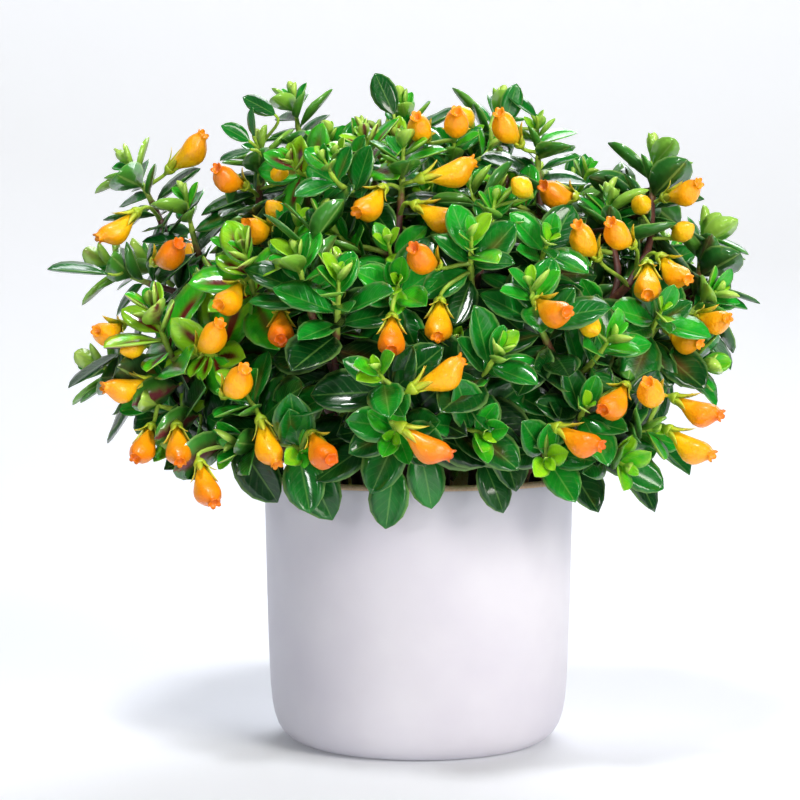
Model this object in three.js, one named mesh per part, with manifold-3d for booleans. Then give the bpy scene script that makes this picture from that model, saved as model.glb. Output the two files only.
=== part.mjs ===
// Goldfish plant (Nematanthus) in a plain round glazed pot.
// Millimetres, +Z up. The origin is the centre of the pot's flat base; -Y is the front.
import * as THREE from 'three';
import { mergeVertices } from 'three/addons/utils/BufferGeometryUtils.js';
import Module from 'manifold-3d';

const wasm = await Module();
wasm.setup();
const { Manifold, Mesh: SolidMesh } = wasm;

// ---- Driving dimensions -------------------------------------------------

const GAP = 0.3; // air between pieces that touch
const POT = {
  height: 110, rim: 65, lipRise: 1.2, wall: 4, base: 51, floor: 6.5, segments: 32,
  shoulder: [57.6, 5, 62.2, 20], // radius and height where the side rounds into the base
  inner: [50, 58, 20], // floor radius, wall radius and height where the inside rounds
};
const SOIL = { edge: 95, crown: 99, holeDepth: 14, holeSides: 6, holeEase: 0.9 };
const WOOD = {
  radius: 2, sides: 4, steps: 4, footTop: 103,
  climb: 0.45, reach: 0.7, arch: 0.14, // how it rises before it arches over, as shares of its rise
};
const SHOOT = {
  radius: 1.3, sides: 4, steps: 3, spacing: 9,
  leave: 0.3, arrive: 0.4, // shares of its reach that it runs straight at its start and at its tip
  twist: 45, twistSpread: 40, // degrees that its leaf pairs are turned about it
};
const LEAF = {
  thickness: 0.8, clearance: 0.35, widthRatio: 0.6, fold: 0.2, droop: 0.13,
  from: [2, 8, 15], // distance of each pair below the shoot's tip
  length: [12.5, 20, 26.5],
  low: [135, 1.14], high: [260, 0.86], // tip heights of a shoot, and its leaves' share of those lengths
  lift: [60, 38, 20], // degrees above square to the axis that they lean round
  rootHalf: 1.1, // most half height of a root
  turnSpread: 12, liftSpread: 11, sizeSpread: 0.1,
  skyward: 0.4, outturn: 0.5, // how far a blade turns its face up, and outward, to the light
  lean: 0.4, // how far the leaves round a shoot lean outward together
  stalkShare: 0.2, // share of a blade that its own shoot may touch
};
const LIGHT = { y: 40, soft: 18 }; // leaves face away from this depth, and less so close to it

const CALYX = {
  radius: 2.6, inner: 1.8, valley: 2.47, neck: 2.8, stalk: 0.8, lobe: 8.5, lobes: 5, spread: 34, sink: 0.7,
  below: 3, // how far under a shoot's tip the highest stalk starts
};
const COROLLA = {
  sides: 5, seat: 0.35, belly: 0.28, bend: 1.6,
  // share of the length, radius: neck, throat, pouch, lip
  profile: [[0, 1.4], [0.3, 3], [0.62, 5.1], [1, 2.8]],
  mouthDepth: 0.12,
};
const BUD = { sides: 4, profile: [[0, 0.8], [0.45, 2.5]] };

const STEEP = 0.95; // past this upright share a way is crossed with X, not with Z

const FINISH = {
  pot: { color: 0xe9e7ee, roughness: 0.45 },
  soil: { color: 0x2b231d, roughness: 0.95 },
  leaf: { color: 0x2f7a35, roughness: 0.35 },
  bloom: { color: 0xf58a1a, roughness: 0.35 },
};

// ---- Layout -------------------------------------------------------------
// Each stem: where it leaves the soil [x, y], where it forks [x, y, z], and its shoots
// [tip x, y, z, tilt of the tip in degrees from upright, leaf pairs].

const STEMS = [
  { base: [-44, -22], fork: [-82, -44, 138], shoots: [
    [-133, -20, 158, 62, 3], [-105, -58, 182, 15, 2], [-106, -55, 143, 75, 2], [-94, -62, 128, 95, 2]] },
  { base: [-34, -4], fork: [-90, -12, 186], shoots: [
    [-124, 10, 245, 40, 3], [-133, 0, 201, 52, 3], [-97, -12, 228, 10, 2], [-84, -66, 163, 55, 2]] },
  { base: [-24, -20], fork: [-60, -42, 168], shoots: [
    [-66, -6, 251, 8, 3], [-68, -68, 204, 18, 2]] },
  { base: [-14, 4], fork: [-38, 0, 208], shoots: [
    [-54, 15, 273, 10, 3], [-37, -15, 253, 10, 2]] },
  { base: [4, 2], fork: [9, 4, 210], shoots: [
    [-7, 10, 269, 5, 3], [35, 25, 272, 12, 3], [15, -15, 253, 8, 2]] },
  { base: [-6, -24], fork: [-9, -52, 190], shoots: [
    [-6, -42, 247, 4, 2], [-22, -30, 252, 12, 2], [-8, -88, 190, 45, 2]] },
  { base: [22, -14], fork: [46, -30, 192], shoots: [
    [49, -15, 257, 4, 3], [50, -75, 207, 35, 3]] },
  { base: [36, -4], fork: [84, -40, 190], shoots: [
    [99, 8, 248, 4, 3], [78, -16, 228, 12, 2]] },
  { base: [46, -16], fork: [102, -32, 170], shoots: [
    [120, 4, 215, 8, 3], [121, -30, 188, 58, 2], [94, -70, 180, 40, 2], [114, -46, 158, 78, 2]] },
  { base: [28, -32], fork: [54, -74, 150], shoots: [
    [42, -95, 189, 14, 2], [73, -88, 170, 30, 2]] },
  { base: [-16, -36], fork: [-31, -76, 152], shoots: [
    [-30, -95, 193, 18, 3], [-47, -78, 202, 15, 2]] },
  { base: [10, -30], fork: [20, -66, 182], shoots: [
    [20, -86, 208, 22, 2], [30, -60, 223, 14, 2]] },
  { base: [-2, -43], fork: [-2, -83, 140], shoots: [
    [-15, -116, 158, 48, 3], [-9, -110, 134, 98, 3], [24, -106, 134, 98, 2], [30, -104, 165, 30, 2]] },
  { base: [38, -30], fork: [64, -70, 132], shoots: [
    [90, -78, 134, 80, 2], [63, -97, 144, 62, 2], [78, -88, 121, 105, 2], [48, -97, 124, 102, 2]] },
  { base: [-30, -40], fork: [-54, -72, 128], shoots: [
    [-44, -94, 126, 98, 3], [-71, -77, 128, 92, 2], [-68, -76, 150, 28, 2]] },
  { base: [-32, 24], fork: [-74, 46, 166], shoots: [
    [-122, 44, 204, 40, 3], [-70, 54, 236, 15, 3], [-92, 86, 182, 45, 3], [-84, 84, 142, 80, 2]] },
  { base: [0, 30], fork: [2, 62, 182], shoots: [
    [-30, 76, 236, 20, 3], [16, 62, 248, 12, 3], [-24, 110, 194, 50, 3], [22, 116, 166, 65, 2]] },
  { base: [34, 24], fork: [74, 46, 168], shoots: [
    [112, 44, 206, 40, 3], [64, 52, 236, 14, 3], [88, 86, 184, 45, 3], [92, 76, 144, 80, 2]] },
];

// Each bloom: its stem's number, its calyx [x, y, z] and its mouth [x, y, z].

const BLOOMS = [
  [2, [-105, 2, 240], [-90, -6, 254]],
  [2, [-117, -14, 221], [-132, -22, 210]],
  [3, [-71, -26, 231], [-81, -42, 237]],
  [3, [-60, -38, 213], [-68, -57, 214]],
  [2, [-108, -26, 200], [-96, -43, 207]],
  [6, [1, -54, 232], [22, -54, 239]],
  [6, [-14, -54, 228], [-24, -70, 218]],
  [6, [-1, -62, 221], [16, -73, 215]],
  [5, [3, -30, 250], [-1, -48, 257]],
  [7, [41, -28, 248], [32, -43, 259]],
  [7, [62, -40, 226], [49, -56, 229]],
  [8, [102, -12, 227], [114, -27, 232]],
  [8, [70, -59, 201], [61, -73, 213]],
  [8, [90, -57, 198], [88, -75, 186]],
  [9, [99, -48, 173], [110, -62, 167]],
  [9, [112, -44, 178], [121, -61, 177]],
  [14, [78, -91, 151], [68, -108, 143]],
  [14, [99, -74, 146], [115, -85, 140]],
  [14, [52, -102, 136], [67, -114, 130]],
  [10, [44, -103, 183], [54, -121, 179]],
  [3, [-69, -68, 190], [-76, -86, 182]],
  [1, [-119, -46, 174], [-126, -64, 172]],
  [1, [-106, -57, 152], [-123, -67, 150]],
  [1, [-86, -67, 164], [-76, -82, 175]],
  [15, [-74, -84, 148], [-65, -101, 158]],
  [3, [-53, -74, 179], [-52, -92, 169]],
  [6, [-10, -100, 177], [-10, -117, 165]],
  [12, [8, -90, 183], [7, -107, 170]],
  [12, [7, -84, 197], [-2, -102, 203]],
  [13, [-2, -117, 151], [16, -119, 162]],
  [15, [-60, -87, 138], [-53, -98, 122]],
  [15, [-40, -97, 133], [-32, -115, 125]],
  [13, [-6, -119, 137], [12, -122, 127]],
  [1, [-105, -62, 134], [-109, -78, 123]],
  [1, [-94, -70, 135], [-91, -85, 122]],
  [15, [-84, -80, 121], [-77, -94, 107]],
  [16, [-98, 62, 202], [-106, 78, 212]],
  [16, [-82, 92, 168], [-90, 108, 160]],
  [17, [-10, 104, 204], [-4, 120, 214]],
  [18, [94, 62, 200], [104, 76, 210]],
];

// Blooms that stand so close to another one that they are one body with their stem.

const SET_BLOOMS = [
  [5, [15, -30, 252], [15, -49, 259]],
  [8, [84, -55, 206], [74, -71, 214]],
  [8, [96, -50, 201], [105, -65, 192]],
  [14, [91, -84, 147], [85, -103, 153]],
  [14, [96, -80, 134], [111, -91, 125]],
];

// Each closed bud: its stem's number, its base and its point.

const BUDS = [
  [3, [-55, -36, 217], [-60, -42, 223]], [5, [21, -26, 256], [16, -33, 261]],
  [12, [43, -65, 225], [37, -71, 230]], [8, [104, -28, 210], [110, -35, 214]],
  [10, [62, -95, 175], [66, -103, 172]], [1, [-109, -56, 166], [-116, -62, 164]],
  [3, [-57, -22, 233], [-56, -31, 237]], [8, [91, -24, 221], [90, -33, 225]],
  [18, [68, 76, 218], [72, 82, 225]], [16, [-80, 70, 216], [-86, 76, 222]],
];

// ---- Small helpers ------------------------------------------------------

const UP = new THREE.Vector3(0, 0, 1);
const at = ([x, y, z]) => new THREE.Vector3(x, y, z);
const radians = THREE.MathUtils.degToRad;

/** A repeatable number from 0 to 1 for a few whole-number keys. */
function draw(...keys) {
  let state = 0x9e3779b9;
  for (const key of keys) {
    state = Math.imul(state ^ (key + 0x85ebca6b), 0xc2b2ae35);
    state ^= state >>> 15;
    state = Math.imul(state, 0x27d4eb2f);
    state ^= state >>> 13;
  }
  return (state >>> 0) / 4294967296;
}

const spread = (amount, ...keys) => amount * (2 * draw(...keys) - 1);

/** A closed body from its points and its outward faces. */
function closedBody(points, faces) {
  const geometry = new THREE.BufferGeometry().setFromPoints(points);
  geometry.setIndex(faces);
  return solid(geometry);
}

/** The faces of the band between two rings that follow each other in a list of points. */
function band(first, sides) {
  return Array.from({ length: sides }, (_, side) => {
    const [a, b] = [first + side, first + (side + 1) % sides];
    return [a, b, b + sides, a, b + sides, a + sides];
  }).flat();
}

/** A flat end on a ring, facing along its axis, or against it. */
function flatEnd(first, sides, against = false) {
  return Array.from({ length: sides - 2 }, (_, side) => {
    const corners = [first, first + side + 1, first + side + 2];
    return against ? corners.reverse() : corners;
  }).flat();
}

/** A closed body through rings of points, from a flat end to a point. */
function pointedLoft(rings, point) {
  const sides = rings[0].length;
  const apex = rings.length * sides;
  const faces = flatEnd(0, sides, true);
  for (let level = 0; level < rings.length - 1; level += 1) faces.push(...band(level * sides, sides));
  for (let side = 0; side < sides; side += 1) {
    faces.push(apex, apex - sides + side, apex - sides + (side + 1) % sides);
  }
  return closedBody([...rings.flat(), point], faces);
}

/** A direction square to a way. */
function squareTo(way) {
  const other = Math.abs(way.z) > STEEP ? new THREE.Vector3(1, 0, 0) : UP;
  return new THREE.Vector3().crossVectors(way, other).normalize();
}

/** A round section of straight sides, square to an axis. */
function ring(centre, axis, radius, sides, turn = 0) {
  const across = squareTo(axis);
  const along = new THREE.Vector3().crossVectors(axis, across).normalize();
  return Array.from({ length: sides }, (_, side) => {
    const angle = turn + (2 * Math.PI * side) / sides;
    return centre.clone()
      .addScaledVector(across, radius * Math.cos(angle))
      .addScaledVector(along, radius * Math.sin(angle));
  });
}

/** A route of straight runs from point to point, with one step of a tube for each run. */
class Route extends THREE.Curve {
  constructor(points) {
    super();
    this.points = points;
    this.runs = points.length - 1;
  }

  getPoint(share) {
    const run = Math.min(this.runs - 1, Math.floor(share * this.runs));
    return this.points[run].clone().lerp(this.points[run + 1], share * this.runs - run);
  }

  getPointAt(share) {
    return this.getPoint(share);
  }

  getTangentAt(share) {
    return this.getTangent(share);
  }

  /** The point at a distance back from the route's end, and the way the run goes there. */
  back(distance) {
    let left = distance;
    for (let run = this.runs; run > 0; run -= 1) {
      const [end, start] = [this.points[run], this.points[run - 1]];
      const length = end.distanceTo(start);
      if (left <= length || run === 1) {
        const way = end.clone().sub(start).normalize();
        return { point: end.clone().addScaledVector(way, -Math.min(left, length)), way };
      }
      left -= length;
    }
    return null;
  }

  /** How far back from the route's end each of its points lies. */
  lengthsBack() {
    let distance = 0;
    return this.points.slice(0, -1).reverse().map((point, index) => {
      distance += point.distanceTo(this.points[this.runs - index]);
      return distance;
    });
  }

  /** The point of the route, a little below its end, that lies nearest to a target. */
  nearest(target) {
    const points = [...this.points.slice(0, -1), this.back(CALYX.below).point];
    const spots = points.slice(1).map((end, run) => (
      new THREE.Line3(points[run], end).closestPointToPoint(target, true, new THREE.Vector3())));
    return closest(spots, target);
  }
}

const closest = (spots, target) => spots.reduce((best, spot) => (
  spot.distanceTo(target) < best.distanceTo(target) ? spot : best));

/** A tube of straight sides along a route. */
function tube(route, radius, sides) {
  const section = new THREE.Shape(Array.from({ length: sides }, (_, side) => {
    const angle = (2 * Math.PI * side) / sides;
    return new THREE.Vector2(radius * Math.cos(angle), radius * Math.sin(angle));
  }));
  return new THREE.ExtrudeGeometry(section, { steps: route.runs, extrudePath: route, bevelEnabled: false });
}

/** A closed geometry as a solid that can be joined and cut. */
function solid(geometry) {
  const bare = geometry.clone();
  bare.deleteAttribute('normal');
  bare.deleteAttribute('uv');
  const merged = mergeVertices(bare, 1e-4);
  return new Manifold(new SolidMesh({
    numProp: 3,
    vertProperties: new Float32Array(merged.attributes.position.array),
    triVerts: new Uint32Array(merged.index.array),
  }));
}

const join = (solids) => solids.reduce((whole, piece) => whole.add(piece));

/** True where two solids share space. */
function meet(a, b) {
  const [p, q] = [a.box, b.box];
  for (let axis = 0; axis < 3; axis += 1) {
    if (p.min[axis] > q.max[axis] || q.min[axis] > p.max[axis]) return false;
  }
  return !a.body.intersect(b.body).isEmpty();
}

/** A solid with its box, as a thing that others keep clear of. */
const obstacle = (body, owner) => ({ body, owner, box: body.boundingBox() });

function named(name, body, finish) {
  const { vertProperties, triVerts } = body.getMesh();
  const geometry = new THREE.BufferGeometry();
  geometry.setAttribute('position', new THREE.BufferAttribute(vertProperties, 3));
  geometry.setIndex(new THREE.BufferAttribute(triVerts, 1));
  geometry.computeVertexNormals();
  const mesh = new THREE.Mesh(geometry, new THREE.MeshStandardMaterial({ ...finish, metalness: 0 }));
  mesh.name = name;
  return mesh;
}

// ---- Pot and soil -------------------------------------------------------

/** Radius of the pot's inner wall at a height above its rounded corner. */
function innerRadius(height) {
  const [, corner, cornerHeight] = POT.inner;
  const top = POT.height + POT.lipRise;
  return corner + ((POT.rim - POT.wall - corner) * (height - cornerHeight)) / (top - cornerHeight);
}

function turnedBody(profile) {
  return new THREE.LatheGeometry(profile.map(([r, z]) => new THREE.Vector2(r, z)), POT.segments)
    .rotateX(Math.PI / 2);
}

function makePot() {
  const [lowRadius, lowHeight, highRadius, highHeight] = POT.shoulder;
  const [floorRadius, cornerRadius, cornerHeight] = POT.inner;
  return solid(turnedBody([
    [0, 0], [POT.base, 0], [lowRadius, lowHeight], [highRadius, highHeight],
    [POT.rim, POT.height], [POT.rim - POT.wall, POT.height + POT.lipRise],
    [cornerRadius, cornerHeight], [floorRadius, POT.floor], [0, POT.floor],
  ]));
}

function makeSoil() {
  const [floorRadius, , cornerHeight] = POT.inner;
  const fill = solid(turnedBody([
    [0, POT.floor + GAP], [floorRadius - 2 * GAP, POT.floor + GAP],
    [innerRadius(cornerHeight) - 2 * GAP, cornerHeight],
    [innerRadius(SOIL.edge) - 2 * GAP, SOIL.edge], [0, SOIL.crown],
  ]));
  const bottom = SOIL.edge - SOIL.holeDepth;
  return STEMS.reduce((body, { base: [x, y] }) => {
    const path = new Route([at([x, y, bottom]), at([x, y, SOIL.crown + GAP])]);
    return body.subtract(solid(tube(path, WOOD.radius + SOIL.holeEase, SOIL.holeSides)));
  }, fill);
}

// ---- Wood ---------------------------------------------------------------

/** A stem's wood: straight up out of the soil, then arching over to its fork. */
function stemRoute({ base: [x, y], fork }) {
  const start = at([x, y, WOOD.footTop]);
  const end = at(fork);
  const rise = end.z - start.z;
  const arch = new THREE.CubicBezierCurve3(
    start,
    start.clone().add(new THREE.Vector3(0, 0, WOOD.climb * rise)),
    start.clone().lerp(end, WOOD.reach).add(new THREE.Vector3(0, 0, WOOD.arch * rise)),
    end,
  );
  return new Route([at([x, y, SOIL.edge - SOIL.holeDepth + GAP]), ...arch.getPoints(WOOD.steps)]);
}

/** The way a shoot points at its tip: outward from its stem's foot, tilted from upright. */
function shootLean(stem, [x, y, , tilt]) {
  const outward = new THREE.Vector3(x - stem.base[0] / 2, y - stem.base[1] / 2, 0).normalize();
  return outward.multiplyScalar(Math.sin(radians(tilt))).addScaledVector(UP, Math.cos(radians(tilt)));
}

function shootRoute(stem, shoot, index) {
  const { point: start, way } = stemRoute(stem).back(SHOOT.spacing * index);
  const tip = at(shoot);
  const reach = start.distanceTo(tip);
  const curve = new THREE.CubicBezierCurve3(
    start,
    start.clone().addScaledVector(way, SHOOT.leave * reach),
    tip.clone().addScaledVector(shootLean(stem, shoot), -SHOOT.arrive * reach),
    tip,
  );
  return new Route(curve.getPoints(SHOOT.steps));
}

/** Half the height of a leaf's root on its shoot, so that a steep leaf keeps its thickness. */
const rootHalf = (pair) => Math.min(LEAF.rootHalf, LEAF.thickness / 2 / Math.cos(radians(LEAF.lift[pair])));

/** The levels of a shoot's four-sided wood, from its start to just under its tip. */
function shootLevels(stemIndex, shootIndex) {
  const stem = STEMS[stemIndex];
  const shoot = stem.shoots[shootIndex];
  const route = shootRoute(stem, shoot, shootIndex);
  const leafy = LEAF.from.slice(0, shoot[4]).flatMap((from, pair) => [
    { distance: from - rootHalf(pair), pair }, { distance: from + rootHalf(pair), pair }]);
  const clearOfLeaves = leafy.at(-1).distance + SHOOT.radius;
  const bare = route.lengthsBack()
    .filter((distance) => distance > clearOfLeaves)
    .map((distance) => ({ distance, pair: null }));
  const vigour = THREE.MathUtils.mapLinear(
    THREE.MathUtils.clamp(shoot[2], LEAF.low[0], LEAF.high[0]),
    LEAF.low[0], LEAF.high[0], LEAF.low[1], LEAF.high[1],
  );
  let across = null;
  const levels = [...leafy, ...bare].map(({ distance, pair }) => {
    const { point, way } = route.back(distance);
    if (!across) {
      const twist = SHOOT.twist + spread(SHOOT.twistSpread, stemIndex + 1, shootIndex);
      across = squareTo(way).applyAxisAngle(way, radians(twist));
    }
    across = across.clone().addScaledVector(way, -across.dot(way)).normalize();
    const beyond = new THREE.Vector3().crossVectors(way, across);
    const outward = Array.from({ length: SHOOT.sides }, (_, side) => (
      turned(across, beyond, (360 * side) / SHOOT.sides)));
    return { point, way, pair, outward, vigour };
  });
  return { levels: levels.reverse(), tip: at(shoot) };
}

/** A direction turned in degrees from one axis towards another. */
function turned(across, beyond, degrees) {
  return across.clone().multiplyScalar(Math.cos(radians(degrees)))
    .addScaledVector(beyond, Math.sin(radians(degrees)));
}

// ---- Leaves -------------------------------------------------------------

// A leaf's outline past its root: share of its length, share of its half width.
const BLADE = [[0.4, -1], [0.78, -0.82], [1, 0], [0.78, 0.82], [0.4, 1]];
const MIDRIB = [0.56, 0];

/** One surface of a folded, drooping blade, at a height off its middle. */
function bladeSurface({ root, along, face, length, width }, height, outline) {
  const side = new THREE.Vector3().crossVectors(face, along).normalize();
  return [...outline, MIDRIB].map(([share, across]) => root.clone()
    .addScaledVector(along, length * share)
    .addScaledVector(side, (width / 2) * across)
    .addScaledVector(face, height + LEAF.fold * (width / 2) * Math.abs(across)
      - LEAF.droop * length * share * share));
}

/**
 * A blade's faces, for its lower and upper points, each in the order
 * right root, five outline points, left root, midrib.
 */
function bladeFaces(lower, upper) {
  const faces = [];
  for (let index = 0; index <= BLADE.length; index += 1) {
    faces.push(lower[index], lower[index + 1], upper[index + 1]);
    faces.push(lower[index], upper[index + 1], upper[index]);
  }
  // The stalk is flat from margin to margin, and the midrib's fold starts past it.
  const skin = [[0, 1, 5], [0, 5, 6], [7, 5, 1], [7, 1, 2], [7, 2, 3], [7, 3, 4], [7, 4, 5]];
  for (const [a, b, c] of skin) faces.push(upper[a], upper[b], upper[c], lower[c], lower[b], lower[a]);
  return faces;
}

/** The room that a leaf takes past its stalk, for finding what is in its way. */
function leafRoom(place) {
  const outline = [[LEAF.stalkShare, -0.5], ...BLADE, [LEAF.stalkShare, 0.5]];
  const half = LEAF.thickness / 2 + LEAF.clearance;
  const points = [-half, half].flatMap((height) => bladeSurface(place, height, outline));
  const [lower, upper] = [0, 8].map((first) => Array.from({ length: 8 }, (_, index) => first + index));
  const back = [6, 0, 8, 6, 8, 14]; // closes it across the stalk
  return closedBody(points, [...bladeFaces(lower, upper), ...back]);
}

/** The level way out of the plant's middle at a point, shorter near the middle. */
function outOf(point) {
  const out = new THREE.Vector3(point.x, point.y - LIGHT.y, 0);
  return out.divideScalar(out.length() + LIGHT.soft);
}

/** Where a leaf goes, from the level it grows from and a bend that clears what is in its way. */
function leafPlace(level, quarter, keys, bend) {
  const { pair, way } = level;
  const turn = radians(spread(LEAF.turnSpread, ...keys, 1) + bend.turn);
  const lift = radians(LEAF.lift[pair] + spread(LEAF.liftSpread, ...keys, 2) + bend.lift);
  const out = outOf(level.point);
  const axis = way.clone().addScaledVector(out, LEAF.lean).normalize();
  const outward = level.outward[quarter].clone().applyAxisAngle(way, turn);
  outward.addScaledVector(axis, -outward.dot(axis)).normalize();
  const along = outward.clone().multiplyScalar(Math.cos(lift)).addScaledVector(axis, Math.sin(lift));
  const face = axis.clone().multiplyScalar(Math.cos(lift)).addScaledVector(outward, -Math.sin(lift));
  face.addScaledVector(UP, LEAF.skyward).addScaledVector(out, LEAF.outturn);
  face.addScaledVector(along, -face.dot(along)).normalize();
  const length = LEAF.length[pair] * (1 + spread(LEAF.sizeSpread, ...keys, 3)) * bend.size * level.vigour;
  const root = level.point.clone().addScaledVector(way, rootHalf(pair))
    .addScaledVector(level.outward[quarter], SHOOT.radius * Math.SQRT1_2);
  return { root, along, face, length, width: length * LEAF.widthRatio };
}

const BENDS = [
  [0, 0, 1], [14, 0, 1], [-14, 0, 1], [0, 20, 1], [0, -20, 1], [16, 20, 0.95], [16, -20, 0.95],
  [-16, 20, 0.95], [-16, -20, 0.95], [28, 0, 0.85], [-28, 0, 0.85], [0, 0, 0.72], [22, 30, 0.75],
  [22, -30, 0.75],
].map(([lift, turn, size]) => ({ lift, turn, size }));

/** A leafy shoot as one closed body: its wood, and each leaf grown out of a side of it. */
function makeShoot({ levels, tip }, leaves) {
  const { sides, radius } = SHOOT;
  const points = levels.flatMap(({ point, outward }) => outward.map((way, side) => (
    point.clone().addScaledVector(way.clone().sub(outward[(side + 1) % sides]).normalize(), radius))));
  const faces = flatEnd(0, sides, true);
  for (let level = 0; level + 1 < levels.length; level += 1) {
    const first = level * sides;
    for (let side = 0; side < sides; side += 1) {
      const next = (side + 1) % sides;
      const [a, b] = [first + side, first + next];
      const [c, d] = [b + sides, a + sides];
      const place = leaves.find((leaf) => leaf.level === level && leaf.side === side)?.place;
      if (place) {
        const surfaces = [-1, 1].map((sign) => bladeSurface(place, (sign * LEAF.thickness) / 2, BLADE));
        const [lower, upper] = surfaces.map((surface) => surface.map((point) => points.push(point) - 1));
        const around = (surface, right, left) => [right, ...surface.slice(0, -1), left, surface.at(-1)];
        faces.push(...bladeFaces(around(lower, a, b), around(upper, d, c)));
      } else {
        faces.push(a, b, c, a, c, d);
      }
    }
  }
  const last = (levels.length - 1) * sides;
  const apex = points.push(tip) - 1;
  for (let side = 0; side < sides; side += 1) faces.push(apex, last + side, last + (side + 1) % sides);
  return closedBody(points, faces);
}

// ---- Flowers ------------------------------------------------------------

/** The point on a stem's wood that lies nearest to a flower, so its stalk is short. */
function nearestWood(stem, target) {
  const routes = [stemRoute(stem), ...stem.shoots.map((shoot, index) => shootRoute(stem, shoot, index))];
  return closest(routes.map((route) => route.nearest(target)), target);
}

/** Stalk, cup and pointed lobes as one closed body, to fuse with the stem. */
function makeCalyx(stem, calyx, mouth) {
  const axis = mouth.clone().sub(calyx).normalize();
  const neck = calyx.clone().addScaledVector(axis, -CALYX.neck);
  const wood = nearestWood(stem, neck);
  const way = neck.clone().sub(wood).normalize();
  const sides = CALYX.lobes;
  const level = (height, radius, turn = 0) => (
    ring(calyx.clone().addScaledVector(axis, height), axis, radius, sides, turn));
  const lean = radians(CALYX.spread);
  const rings = [
    ring(wood, way, CALYX.stalk, sides),
    level(-CALYX.neck, CALYX.stalk),
    level(-CALYX.sink, CALYX.radius),
  ];
  const tips = level(CALYX.lobe * Math.cos(lean), CALYX.radius + CALYX.lobe * Math.sin(lean));
  const valleys = level(CALYX.sink, CALYX.valley, Math.PI / sides);
  const inner = level(0, CALYX.inner);
  const [cup, valley, tip, seat] = [2, 3, 4, 5].map((order) => order * sides);
  const faces = [flatEnd(0, sides, true), band(0, sides), band(sides, sides), flatEnd(seat, sides)].flat();
  for (let lobe = 0; lobe < sides; lobe += 1) {
    const next = (lobe + 1) % sides;
    faces.push(cup + lobe, cup + next, valley + lobe);
    faces.push(cup + lobe, valley + lobe, tip + lobe);
    faces.push(valley + lobe, cup + next, tip + next);
    faces.push(seat + lobe, tip + lobe, valley + lobe);
    faces.push(valley + lobe, tip + next, seat + next);
    faces.push(seat + lobe, valley + lobe, seat + next);
  }
  return closedBody([...rings.flat(), ...valleys, ...tips, ...inner], faces);
}

/** A pouched corolla: its belly hangs to one side and its mouth turns back up. */
function makeCorolla(calyx, mouth, seat) {
  const axis = mouth.clone().sub(calyx);
  const length = axis.length();
  axis.normalize();
  const belly = UP.clone().multiplyScalar(-1).addScaledVector(axis, axis.z).normalize();
  const { profile, sides, bend } = COROLLA;
  const spot = (share, radius) => calyx.clone()
    .addScaledVector(axis, seat + (length - seat) * share)
    .addScaledVector(belly, (bend + COROLLA.belly * (radius - profile[0][1])) * Math.sin(Math.PI * share));
  const rings = profile.map(([share, radius]) => ring(spot(share, radius), axis, radius, sides));
  return pointedLoft(rings, spot(1 - COROLLA.mouthDepth, 0));
}

function makeBud(stem, base, point) {
  const axis = point.clone().sub(base);
  const length = axis.length();
  axis.normalize();
  const wood = nearestWood(stem, base);
  const way = base.clone().sub(wood).normalize();
  const rings = BUD.profile.map(([share, radius]) => (
    ring(base.clone().addScaledVector(axis, length * share), axis, radius, BUD.sides)));
  return pointedLoft([ring(wood, way, CALYX.stalk, BUD.sides), ...rings], point);
}

// ---- Assembly -----------------------------------------------------------

const potSolid = makePot();
const soilSolid = makeSoil();
const shoots = STEMS.flatMap((stem, stemIndex) => stem.shoots.map((shoot, shootIndex) => (
  { stemIndex, shootIndex, leaves: [], ...shootLevels(stemIndex, shootIndex) })));

// What each stem is joined from, and what a leaf has to keep clear of.
const pieces = STEMS.map((stem) => [solid(tube(stemRoute(stem), WOOD.radius, WOOD.sides))]);
const obstacles = [obstacle(potSolid, 'pot'), obstacle(soilSolid, 'soil')];
pieces.forEach(([wood], stemIndex) => obstacles.push(obstacle(wood, stemIndex)));
shoots.forEach((shoot) => obstacles.push(obstacle(makeShoot(shoot, []), shoot.stemIndex)));

/** Fuses a solid with its stem. */
function grow(stemNumber, body) {
  pieces[stemNumber - 1].push(body);
  obstacles.push(obstacle(body, stemNumber - 1));
}

const corollas = BLOOMS.map(([stemNumber, calyx, mouth], bloomIndex) => {
  grow(stemNumber, makeCalyx(STEMS[stemNumber - 1], at(calyx), at(mouth)));
  const corolla = makeCorolla(at(calyx), at(mouth), COROLLA.seat);
  obstacles.push(obstacle(corolla, `bloom ${bloomIndex + 1}`));
  return corolla;
});
SET_BLOOMS.forEach(([stemNumber, calyx, mouth]) => {
  grow(stemNumber, makeCalyx(STEMS[stemNumber - 1], at(calyx), at(mouth)));
  grow(stemNumber, makeCorolla(at(calyx), at(mouth), -COROLLA.seat));
});
BUDS.forEach(([stemNumber, base, point]) => {
  grow(stemNumber, makeBud(STEMS[stemNumber - 1], at(base), at(point)));
});

/** Adds a leaf where it clears everything, bent aside where it has to be. */
function growLeaf({ stemIndex, shootIndex, leaves, levels }, level, side) {
  for (const bend of BENDS) {
    const keys = [stemIndex + 1, shootIndex, levels[level].pair, side];
    const place = leafPlace(levels[level], side, keys, bend);
    const room = obstacle(leafRoom(place), stemIndex);
    if (!obstacles.some((other) => meet(room, other))) {
      obstacles.push(room);
      leaves.push({ level, side, place });
      return;
    }
  }
}

// Pairs of leaves stand square to each other up a shoot, and the pairs at the tips come first.
for (let pair = 0; pair < LEAF.from.length; pair += 1) {
  for (const shoot of shoots) {
    const level = shoot.levels.findIndex((step) => step.pair === pair);
    if (level >= 0) [pair % 2, 2 + (pair % 2)].forEach((side) => growLeaf(shoot, level, side));
  }
}
shoots.forEach((shoot) => pieces[shoot.stemIndex].push(makeShoot(shoot, shoot.leaves)));

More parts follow.
